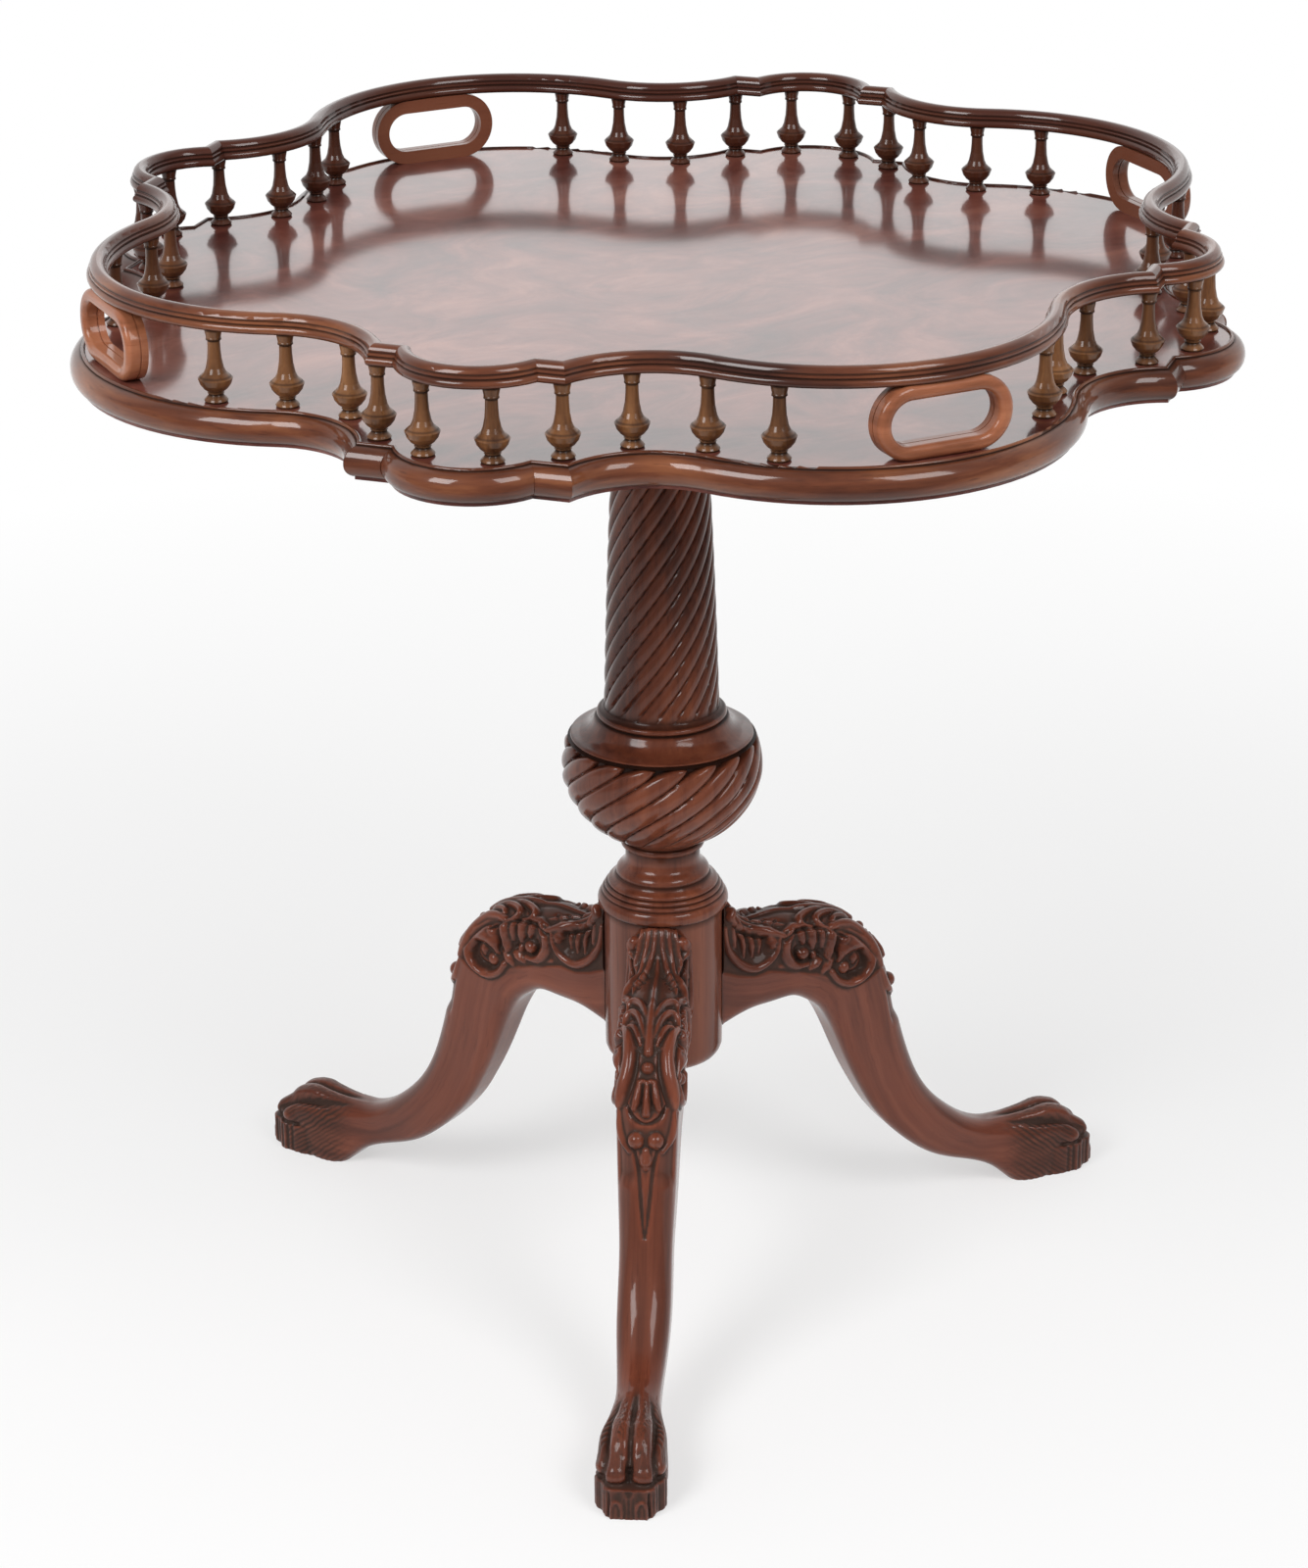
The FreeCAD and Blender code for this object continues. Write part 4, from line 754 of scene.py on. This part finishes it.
# Side of the knee. A stroke has its points' distance out and height, its half width, its height or depth,
# and what share of its size it starts and ends with. A ball has its place, radius and height.
SIDE_ROLLS = (
    # shell beside the pillar: its frame, lip and ribs
    (((75.8, 229), (73.5, 219), (66.2, 212.4), (55.7, 210.4), (45, 217), (37.6, 228.4), (35.4, 243)),
     3.0, 3.4),
    (((79.0, 229.5), (69, 234.5), (60.4, 239.5), (49.8, 245.5), (40.3, 251)), 4.4, 4.8, 0.5, 0.8),
    (((69.4, 230.5), (70.6, 224.0)), 4.2, 3.6),
    (((62.4, 236), (61.4, 220)), 2.5, 3.0, 0.8),
    (((56.6, 239), (56.4, 218.5)), 2.7, 3.3, 0.8),
    (((50.0, 243), (49.6, 220.5)), 2.9, 3.5, 0.8),
    (((43.4, 246), (43.0, 229)), 2.8, 3.0, 0.8),
    # edge of the knee's fold, and the fingers that hang from it
    (((131, 222), (120, 229.5), (107, 233.8), (95, 235.6), (85, 234.4), (78, 231)), 3.6, 2.6, 0.5, 0.5),
    (((115.6, 226), (113.8, 219), (111.2, 206.5)), 4.6, 4.2, 0.9),
    (((107.4, 228), (107.6, 215)), 2.8, 3.2, 0.9),
    (((100.0, 230), (100.2, 216.5)), 4.3, 4.4, 0.9),
    (((92.2, 230), (93.4, 221.0)), 3.4, 3.6, 0.9),
    (((85.0, 231), (80.4, 223), (81, 213.3), (87.6, 206.2), (96.0, 205.6)), 3.9, 4.0, 0.8),
    (((107.2, 207.2), (98.9, 202.0)), 3.8, 3.2),
    (((113.6, 203.5), (108.4, 197.6)), 3.8, 2.8),
    # scroll at the knee's corner
    (((124.0, 225.5), (132.5, 220.4), (140.2, 212.2), (144.8, 204.6), (145.9, 197.0), (142.9, 190.5),
      (136.5, 185.6), (127.8, 184.2), (119.5, 188.4), (114.2, 195.8)), 3.0, 4.2, 0.8, 0.8),
    (((139.4, 211.0), (131.0, 212.6), (124.6, 210.2), (120.6, 204.4)), 6.2, 4.2, 0.7, 0.6),
    (((127.6, 219.0), (122.4, 214.0)), 4.2, 3.6),
    (((132.0, 204.6), (131.4, 199.0)), 3.8, 2.8),
    # raised edge under the carving
    (((156.0, 168.0), (147.6, 173.0), (138.9, 177.2), (127.9, 180.4), (116.0, 186.6), (108.0, 192.6),
      (98.5, 195.6), (89.0, 200.0), (82.2, 205.3), (76.5, 207.5)), 3.0, 1.2),
)
SIDE_BALLS = (((93.4, 213.4), 4.6, 4.8), ((123.9, 196.6), 4.6, 4.6), ((101.2, 210.4), 3.0, 3.0))
SIDE_FURROWS = (
    (((138.4, 205.6), (140.0, 198.0), (136.4, 191.2), (128.8, 189.6)), 3.2, 3.6, 0.6, 0.6),
    (((120.4, 221.5), (117.0, 213.0), (118.4, 204.8), (116.2, 198.4)), 1.6, 3.6),
    (((130.5, 216.6), (134.6, 216.0), (139.0, 211.6)), 1.3, 1.8),
    (((87.6, 218.0), (87.2, 212.0), (91.0, 207.8), (97.6, 207.4), (98.6, 211.0)), 1.5, 3.6, 0.6, 0.6),
    (((104.0, 213.0), (105.0, 209.6), (111.0, 204.8)), 1.3, 3.0, 0.6, 0.6),
    # deep line under the fold and under the shell's lip
    (((126, 219.0), (118, 225.4), (107, 229.6), (96, 231.2), (88, 230.6), (80, 226.6)), 1.9, 3.6, 0.6, 0.6),
    (((66, 230.8), (58, 234.4), (49, 239.6), (42, 244)), 1.5, 2.8, 0.7, 0.7),
    # streaks of the leaf over the knee
    (((80.0, 234.0), (92.0, 238.0), (104.0, 237.4), (118.0, 232.6), (130, 225)), 0.9, 1.2),
    (((70, 236.6), (62, 241.4), (54, 246)), 0.8, 1.2),
)
SHELL_HOLLOW = ((71, 228), (66, 218), (56, 215.5), (47, 221), (41.5, 233), (42, 243), (56, 238))
FINGER_HOLLOW = ((88, 219), (92, 230), (103, 228), (114, 214), (106, 204), (92, 208))
SCROLL_HOLLOW = ((138, 208), (141, 198), (135, 190), (126, 189), (119, 194), (120, 204), (128, 209))

# Front of the knee: strokes' points by distance down the leg's top line and distance from its middle
FRONT_ROLLS = (
    (((0, 0), (34, 0)), 1.4, 2.4, 1.0, 0.9),
    (((26, 0), (60, 0), (100, 0)), 1.7, 2.6, 0.6, 1.0),
    (((62, 0), (90, 0), (116, 0)), 3.7, 4.2, 0.3, 0.9),
    # upper leaves, with turned-up inner edges
    (((0, 5.4), (14, 7.0), (28, 10.2), (41, 14.2), (54, 18.6)), 5.9, 3.0, 0.9, 0.5),
    (((0, 1.8), (16, 2.6), (27, 5.4), (37, 9.8), (47, 14.0), (57, 18.4)), 1.7, 4.0, 0.8, 0.6),
    (((0, 10.6), (14, 12.6), (26, 15.8), (36, 19.4)), 1.5, 3.4, 0.8, 0.6),
    # leaves that rise from the middle and fall outwards
    (((94, 2.2), (83, 4.4), (73, 8.4), (67.5, 13.2), (69, 18.4), (77, 21.8)), 3.1, 4.0, 0.5, 0.8),
    (((106, 3.2), (94, 6.0), (85, 9.8), (80.5, 14.0), (83.5, 18.8), (93, 21.6)), 3.1, 4.2, 0.5, 0.8),
    (((111, 5.4), (102, 8.0), (96, 11.2), (94, 14.6)), 2.5, 3.4, 0.5, 0.8),
    # long rolls beside the beads
    (((92, 18.6), (103, 14.6), (116, 12.8), (128, 13.8), (140, 17.0), (150, 20)), 4.5, 4.8, 0.5, 0.7),
    (((101, 21.5), (114, 21), (128, 21), (142, 22)), 2.8, 3.4),
    # husk
    (((136, 0), (148, 0), (156.0, 0)), 2.6, 4.2, 0.7, 1.0),
    (((136, 4.4), (145, 6.0), (153.0, 8.4)), 2.9, 3.4, 0.8, 0.7),
    # shield and its turned edges
    (((156, 19.0), (166, 18.6), (175, 15.6), (181, 11.4)), 2.4, 2.8),
    (((180, 0), (191, 0)), 3.6, 3.0),
)
FRONT_BALLS = (((12.0, 16.6), 4.6, 5.4), ((126.5, 0), 4.0, 4.8), ((173.5, 6.6), 5.4, 5.0),
               ((135.5, 2.6), 2.1, 4.0), ((187.5, 0), 3.6, 3.8), ((113.0, 9.0), 1.8, 1.6))
FRONT_FURROWS = (
    (((3, 4.6), (16, 5.8), (29, 9.2), (42, 13.8)), 0.9, 1.6),
    (((3, 8.0), (16, 9.8), (30, 13.6), (41, 17.4)), 0.9, 1.6),
    (((21, 18.0), (27, 19.4), (33, 21.0)), 2.4, 3.0, 0.8, 0.5),
    (((44, 17.4), (56, 20.6)), 1.4, 2.2),
    (((86, 5.6), (77, 9.4), (72.5, 13.8), (74.5, 18.4)), 0.9, 1.6),
    (((98, 7.4), (89, 10.8), (85.5, 14.4), (88, 18.4)), 0.9, 1.6),
    (((98, 18.0), (110, 16.0), (122, 15.6)), 0.9, 1.5),
    (((116, 7.0), (128, 8.0), (140, 11.6), (150, 15.0)), 2.2, 1.8, 0.4, 0.6),
    (((134, 2.2), (146, 2.9), (155, 4.2)), 1.0, 2.2),
    (((150, 13.4), (158, 10.0), (162, 4.0), (163, 0)), 2.0, 2.6),
    (((181, 7.6), (194, 4.6), (214, 2.6), (236, 0.4)), 1.8, 1.7, 0.8),
    (((151, 21.5), (157, 20.5)), 2.4, 2.6),
)
# Notches in the inner edges of the upper leaves
SERRATIONS = ((33, 7.4), (40, 11.0), (47, 14.2))


def inside(places, corners, edge):
    """One inside a drawn outline, falling to nothing across an edge."""
    corners = np.array(corners, float)
    x, y = places.T
    within = np.zeros(len(places), bool)
    for (x0, y0), (x1, y1) in zip(corners, np.roll(corners, -1, axis=0)):
        crosses = (y0 > y) != (y1 > y)
        within ^= crosses & (x < (x1 - x0) * (y - y0) / (y1 - y0 + 1e-12) + x0)
    gap, _, _ = from_line(places, np.vstack([corners, corners[:1]]))
    return smooth(0, 1, 0.5 + np.where(within, gap, -gap) / edge)


def cut(relief, rolls, balls, furrows):
    """Heights of a relief after its strokes."""
    for stroke in rolls:
        relief.roll(*stroke)
    for place, radius, rise in balls:
        relief.ball(place, radius, rise)
    for stroke in furrows:
        relief.furrow(*stroke)
    return relief.height()


def side_relief(out, height):
    """Heights of the carving on the knee's side."""
    relief = Relief(np.column_stack([out, height]))
    hollow = inside(relief.places, SHELL_HOLLOW, 6.0) * 3.6 + inside(relief.places, FINGER_HOLLOW, 6.0) * 1.6
    hollow += inside(relief.places, SCROLL_HOLLOW, 5.0) * 1.6
    return cut(relief, SIDE_ROLLS, SIDE_BALLS, SIDE_FURROWS) - hollow


def front_relief(down, across):
    """Heights of the carving on the knee's front, the same on both sides of its middle."""
    relief = Relief(np.column_stack([down, np.abs(across)]))
    for place, away in SERRATIONS:
        relief.furrow(((place + 3.0, away - 3.0), (place - 0.8, away + 1.2)), 1.3, 2.4, 1.0, 0.4)
    return cut(relief, FRONT_ROLLS, FRONT_BALLS, FRONT_FURROWS)


# Lower edge of the carving on the side, distance out and height
CARVED_EDGE = np.array([(30, 214), (45, 208), (57, 205.5), (68, 206.5), (79, 204), (98, 196.5), (113, 188.5),
                        (124, 181.5), (134, 181), (143, 184.5), (152, 190), (176, 198)], float)


def over_carved_edge(points):
    """Height of points over the carving's lower edge."""
    return points[:, 2] - np.interp(points[:, 0], CARVED_EDGE[:, 0], CARVED_EDGE[:, 1])


def carve_knee(points, normals):
    """Heights of the knee's carving, and how dark each place lies, at points of a leg along +X."""
    out, across, height = points.T
    gap, down, _ = from_line(points[:, ::2], LEG_TOP)
    # The knee's front is what lies close to its top line, and its sides are what lies beside that
    limit = 4.0 + 5.0 * smooth(55, 95, down)
    beside = smooth(limit - 1.0, limit + 1.5, gap)
    above = 1 - beside
    over_edge = smooth(-1.5, 0.5, over_carved_edge(points))
    side_zone = over_edge * smooth(160, 154, out) * (height > 150)
    front_zone = 1 - smooth(194, 206, down)
    side = side_relief(out, height)
    front = np.where(down < 245, front_relief(down, across), 0.0)
    knee = 1 - smooth(150, 235, down)
    flat = np.abs(normals[:, 1])
    crest = smooth(15, 35, down) * (1 - smooth(85, 110, down))
    # The ground that the carving stands on lies a little below the plain leg
    ground = -1.3 * beside * knee * flat - 1.2 * side_zone * beside - (2.2 + 1.5 * crest) * front_zone * above
    ground -= 1.2 * beside * crest * smooth(9, 5, gap)
    side_share = np.where(side > 0, np.maximum(side_zone, over_edge * 0.6), side_zone)
    carving = side * beside * side_share + front * above
    # Dark wax and painted shade in the carving's low places
    dark = smooth(1.9, -1.6, side) * side_zone * beside + smooth(1.7, -1.4, front) * front_zone * above
    dark += smooth(-0.3, -1.6, front) * above * (1 - front_zone)
    return ground + carving, dark


def ripple(values):
    """Even rounded ridges, one for each whole number, from nothing to one."""
    return np.abs(np.cos(np.pi * values))


# Claws on the block's front: strokes' points by height and distance from the middle
CLAW_ROLLS = (
    (((-1, 11.0), (8, 11.0), (12.6, 7.8), (8, 4.6), (-1, 4.6)), 1.1, 1.5, 1, 1),
    (((-1, 7.8), (9.0, 7.8)), 1.6, 0.9, 1, 0.8),
)
CLAW_FURROWS = (
    (((-1, 0), (14, 0)), 1.0, 1.5, 1, 0.6),
    (((-1, 2.9), (15, 2.6)), 0.8, 1.0, 1, 0.6),
    (((-1, 13.0), (18, 12.6)), 1.1, 2.0, 1, 0.6),
    (((-1, 16.2), (18, 15.8)), 1.1, 2.0, 1, 0.6),
    (((15, 0), (23, 0)), 2.4, 1.8, 0.2, 1),
)


def spread_toes(points):
    """Toes set further apart, and the outer ones lowered, before the paw is carved."""
    out, across, height = points.T
    reach = out - PAW_START
    wider = 0.15 * smooth(40, 90, reach) * np.clip(1 - (across / 22.0) ** 2, 0, 1)
    low = np.interp(out, (245, 262, 275, 300, 312, 323), (48, 45, 39.5, 36.0, 33.0, 29.0))
    outer = smooth(11.5, 15.5, np.abs(across) * (1 + wider)) * smooth(30, 45, reach)
    dropped = np.where(height > low, low + 0.25 * (height - low), height)
    shaped = points.copy()
    shaped[:, 1] = across * (1 + wider)
    shaped[:, 2] = height + (dropped - height) * outer
    return shaped


def carve_paw(points, normals):
    """Heights of the fur, the toes' grooves and the claws, and how dark each place lies."""
    out, across, height = points.T
    reach = out - PAW_START
    side = np.abs(across)
    upright = np.abs(normals[:, 2])
    sideways = np.abs(normals[:, 1])
    start = smooth(34, 62, reach)
    upper = smooth(CLAW_TOP, CLAW_TOP + 3.5, height)
    # Long smooth toes divided by deep grooves
    apart = np.interp(reach, (36, 50, 75, 92, 110), (7.0, 11.0, 14.6, 15.6, 16.2))
    middle = np.exp(-(across / (1.2 + 0.6 * smooth(80, 50, reach))) ** 2) * smooth(28, 48, reach)
    middle *= 1 + 0.8 * smooth(88, 100, reach)
    outer = np.exp(-((side - apart) / 1.3) ** 2) * smooth(34, 56, reach)
    inner_toe = np.clip(side / apart * 2 - 1, -1, 1)
    crowns = np.where(side < apart, 1.5 * inner_toe ** 2, 1.0) * smooth(36, 60, reach)
    top = smooth(0.05, 0.45, normals[:, 2]) * upper
    grooves = (2.6 * middle + 1.8 * outer) * upper + crowns * top * smooth(104, 92, reach)
    # Strands of fur that flow off the toes' crowns and down the flanks
    wave = np.sin(out / 5.3 + across * 0.5) + 0.6 * np.sin(out / 2.9 - height * 0.4 + across)
    on_toe = top * smooth(apart + 1, apart - 1, side)
    strands = ripple((np.abs(side - apart / 2) - 0.22 * reach + 0.35 * wave) / 1.75)
    flow = height + 0.80 * (reach - 40) + 0.8 * np.sin(reach / 8.0 + height * 0.25) + 0.45 * wave
    flank_strands = ripple(flow / 3.9)
    flank = smooth(0.25, 0.6, sideways) * smooth(94, 88, reach) * (1 - on_toe) * (side > 8)
    fur = 0.8 * strands * on_toe * smooth(100, 88, reach) + 0.75 * flank_strands * flank
    fur = (fur - 0.4 * np.maximum(on_toe, flank)) * start
    # Waist between the toes and the claws, and the claws themselves
    seam = np.exp(-((height - CLAW_TOP - 1.0) / 1.2) ** 2) * smooth(78, 88, reach)
    claws = Relief(np.column_stack([height, side]))
    lines = cut(claws, CLAW_ROLLS, (), CLAW_FURROWS) - 0.4
    claw_zone = smooth(CLAW_TOP, CLAW_TOP - 1.6, height)
    front = smooth(84, 90, reach) * claw_zone * smooth(0.8, 0.5, upright)
    beside = smooth(0.72, 0.92, sideways) * smooth(84, 88, reach) * claw_zone
    side_flute = ripple((reach - 85.0) / 4.4) * 1.2 - 0.8
    lines = lines * (1 - beside) * front + side_flute * beside
    # Dark wax and painted shade in the toes' grooves, the waist, the claws' lines and between the fur's
    # strands, with a darker tone over the paw
    dark = (middle + outer) * upper + seam + smooth(0.3, -1.4, lines) * np.maximum(front, beside)
    dark += (0.3 + 0.8 * (1 - strands) ** 2 * on_toe + 0.7 * (1 - flank_strands) ** 2 * flank) * start
    return -grooves * start + fur - 1.2 * seam + lines, dark


def softened(points, edges):
    """The knuckles' humps run out smoothly into the paw's back."""
    reach = points[:, 0] - PAW_START
    share = smooth(38, 52, reach) * smooth(94, 84, reach) * smooth(24, 30, points[:, 2])
    return points + (averaged(points, edges, 60) - points) * share[:, None]


def carved(points, normals, edges):
    """Points of the carved leg and how dark each lies, all in millimetres."""
    points = spread_toes(points)
    knee, knee_dark = carve_knee(points, normals)
    paw, paw_dark = carve_paw(points, normals)
    foot = points[:, 0] > FOOT_START
    rise = averaged((knee + paw * foot)[:, None], edges, 2)
    moved = points + normals * rise
    moved[:, 2] = np.maximum(moved[:, 2], 0.0)
    return moved, knee_dark + paw_dark * foot


def add_claw_block(piece):
    """The claws' common block under the toes, let into the paw."""
    deselect_all()
    bpy.ops.mesh.primitive_cylinder_add(vertices=96, radius=BLOCK_RADIUS, depth=BLOCK_HEIGHT,
                                        location=BLOCK_PLACE)
    block = bpy.context.object
    block.scale = (1.0, BLOCK_WIDTH, 1.0)
    bpy.ops.object.transform_apply(location=True, rotation=False, scale=True)
    pick(piece)
    block.select_set(True)
    bpy.ops.object.join()


def store_grain(piece, points):
    """Places for the leg's grain: across it, below its top line, and down its length."""
    gap, down, _ = from_line(points[:, ::2], LEG_TOP)
    grain = piece.data.attributes.new("grain", "FLOAT_VECTOR", "POINT")
    rows = np.column_stack([points[:, 1], gap, down]) * MM
    grain.data.foreach_set("vector", rows.astype(np.float32).ravel())


def thinned(piece, share):
    """Fewer faces where the surface is plain."""
    pick(piece)
    modifier = piece.modifiers.new("fewer faces", "DECIMATE")
    modifier.ratio = share
    bpy.ops.object.modifier_apply(modifier=modifier.name)


def darker_zones(points):
    """How much darker the carved zones, the paw and the shin's front are, apart from their recesses."""
    gap, down, _ = from_line(points[:, ::2], LEG_TOP)
    carving = 0.35 * smooth(-3, 1, over_carved_edge(points)) * smooth(205, 185, down)
    paw = 0.42 * smooth(250, 268, points[:, 0])
    front = smooth(16, 5, gap) * (0.15 + 0.17 * smooth(185, 215, down)) * smooth(330, 295, down)
    return carving + paw + front


def carved_leg():
    """A leg along +X with its carved knee, its fur and its claws."""
    piece = leg_copy(*LEG_TURNS[0])
    add_claw_block(piece)
    remeshed(piece, LEG_FACE)
    edges = edges_of(piece)
    set_points(piece, softened(averaged(points_of(piece), edges, 2) / MM, edges) * MM)
    normals = averaged(normals_of(piece), edges, 6)
    normals /= np.linalg.norm(normals, axis=1)[:, None]
    points, dark = carved(points_of(piece) / MM, normals, edges)
    set_points(piece, points * MM)
    store_grain(piece, points)
    # Dark wax and painted shade in the hollows and grooves, with the darker zones
    hollow = np.clip(hollows(piece, HOLLOW_DEPTH, HOLLOW_REACH), -0.7, 1.3)
    store(piece, "recess", hollow + 0.5 * np.clip(dark, 0, 1.3) + darker_zones(points))
    thinned(piece, LEG_SHARE_KEPT)
    points = points_of(piece)
    points[:, 2] = np.maximum(points[:, 2], 0.0)
    set_points(piece, points)
    return piece


pattern = carved_leg()
for node, turn in LEG_TURNS:
    piece = pattern.copy()
    piece.data = pattern.data.copy()
    piece.name = "carved_" + node
    bpy.context.scene.collection.objects.link(piece)
    piece.data.transform(Matrix.Rotation(math.radians(turn), 4, "Z"))
    finished(piece, leg_wood, "base", CARVED_ANGLE)
    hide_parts(node)
bpy.data.objects.remove(pattern)

# ------------ floor, lights and camera

CAMERA_PLACE = (2.29389641, -1.11479614, 1.43380761)
CAMERA_TURN = (66.89571, 0.3980872, 64.0301681)
CAMERA_LENS = 98.791
CAMERA_AZIMUTH = math.atan2(CAMERA_PLACE[1], CAMERA_PLACE[0])
TO_CAMERA = (math.cos(CAMERA_AZIMUTH), math.sin(CAMERA_AZIMUTH), 0.0)
AIM = Vector((0, 0, 0.45))
FLOOR_SIZE = 40
WHITE = (1.0, 1.0, 1.0, 1.0)
FLOOR_WHITE = (0.9, 0.9, 0.9, 1.0)
# Strength of the white surroundings on the object. Seen or mirrored they are plain white, but for the dark
# room before the table, which polished wood mirrors.
AROUND = 0.42
ROOM_DARKNESS = 0.7


def pale_floor():
    """White floor that keeps a soft shadow near the table, and is mirrored darker before it."""
    deselect_all()
    bpy.ops.mesh.primitive_plane_add(size=FLOOR_SIZE, location=(0, 0, 0))
    floor = bpy.context.object
    floor.name = "floor"
    shader = Shader("white_studio_floor")
    across = shader.part("X")
    along = shader.part("Y")
    away = (across * across + along * along) ** 0.5
    before = ((across * TO_CAMERA[0] + along * TO_CAMERA[1] - 0.6) / 0.9).clamped()
    mirrored = shader.rays("Is Glossy Ray")
    glow = ((away - 0.35) / 1.3).clamped() * 0.45 + 0.55
    share = (shader.rays("Is Camera Ray") + mirrored + shader.rays("Is Transmission Ray")).clamped() * glow
    shadowed = shader.node("ShaderNodeBsdfDiffuse", {}, {"Color": FLOOR_WHITE})
    strength = 1 - mirrored * before * 0.75
    white = shader.node("ShaderNodeEmission", {}, {"Color": WHITE, "Strength": strength})
    mixed = shader.node("ShaderNodeMixShader", {}, {0: share, 1: shadowed, 2: white})
    floor.data.materials.append(shader.surface(mixed))


def white_world():
    """Even white surroundings, plain white where seen or mirrored, with a dark room before the table."""
    world = bpy.data.worlds.new("white_studio")
    bpy.context.scene.world = world
    world.use_nodes = True
    nodes = Nodes(world.node_tree)
    way = nodes.node("ShaderNodeTexCoord", {}, {}, "Generated")
    ahead = nodes.node("ShaderNodeVectorMath", {"operation": "DOT_PRODUCT"}, {0: way, 1: TO_CAMERA}, "Value")
    before = ((ahead + 0.55) / 0.6).clamped()
    plain = (nodes.rays("Is Camera Ray") + nodes.rays("Is Transmission Ray")).clamped()
    mirrored = nodes.rays("Is Glossy Ray") * (1 - AROUND - before * ROOM_DARKNESS)
    strength = plain * (1 - AROUND) + mirrored + AROUND
    background = nodes.node("ShaderNodeBackground", {}, {"Color": WHITE, "Strength": strength})
    nodes.node("ShaderNodeOutputWorld", {}, {"Surface": background})


def softbox(name, azimuth, elevation, distance, width, height, power):
    """A soft lamp aimed at the middle of the table. Azimuth is counted from the camera's."""
    turn = CAMERA_AZIMUTH + math.radians(azimuth)
    rise = math.radians(elevation)
    way = Vector((math.cos(rise) * math.cos(turn), math.cos(rise) * math.sin(turn), math.sin(rise)))
    bpy.ops.object.light_add(type="AREA", location=AIM + way * distance)
    lamp = bpy.context.object
    lamp.name = name
    lamp.data.shape = "RECTANGLE"
    lamp.data.size = width
    lamp.data.size_y = height
    lamp.data.energy = power
    lamp.rotation_euler = way.to_track_quat("Z", "Y").to_euler()


pale_floor()
white_world()
softbox("left_softbox", -42, 38, 3.0, 1.2, 1.4, 54)
softbox("right_softbox", 40, 42, 3.0, 1.2, 1.4, 38)
softbox("back_softbox", 178, 20.4, 3.6, 2.2, 1.0, 3.9)

bpy.ops.object.camera_add(location=CAMERA_PLACE)
camera = bpy.context.object
camera.name = "camera"
camera.rotation_euler = Euler([math.radians(angle) for angle in CAMERA_TURN], "XYZ")
camera.data.sensor_fit = "VERTICAL"
camera.data.sensor_height = 36.0
camera.data.lens = CAMERA_LENS
bpy.context.scene.camera = camera
bpy.context.scene.view_settings.view_transform = "Standard"


def plain(box):
    """The two corners of a box as lists of plain numbers."""
    return [[float(number) for number in corner] for corner in box]
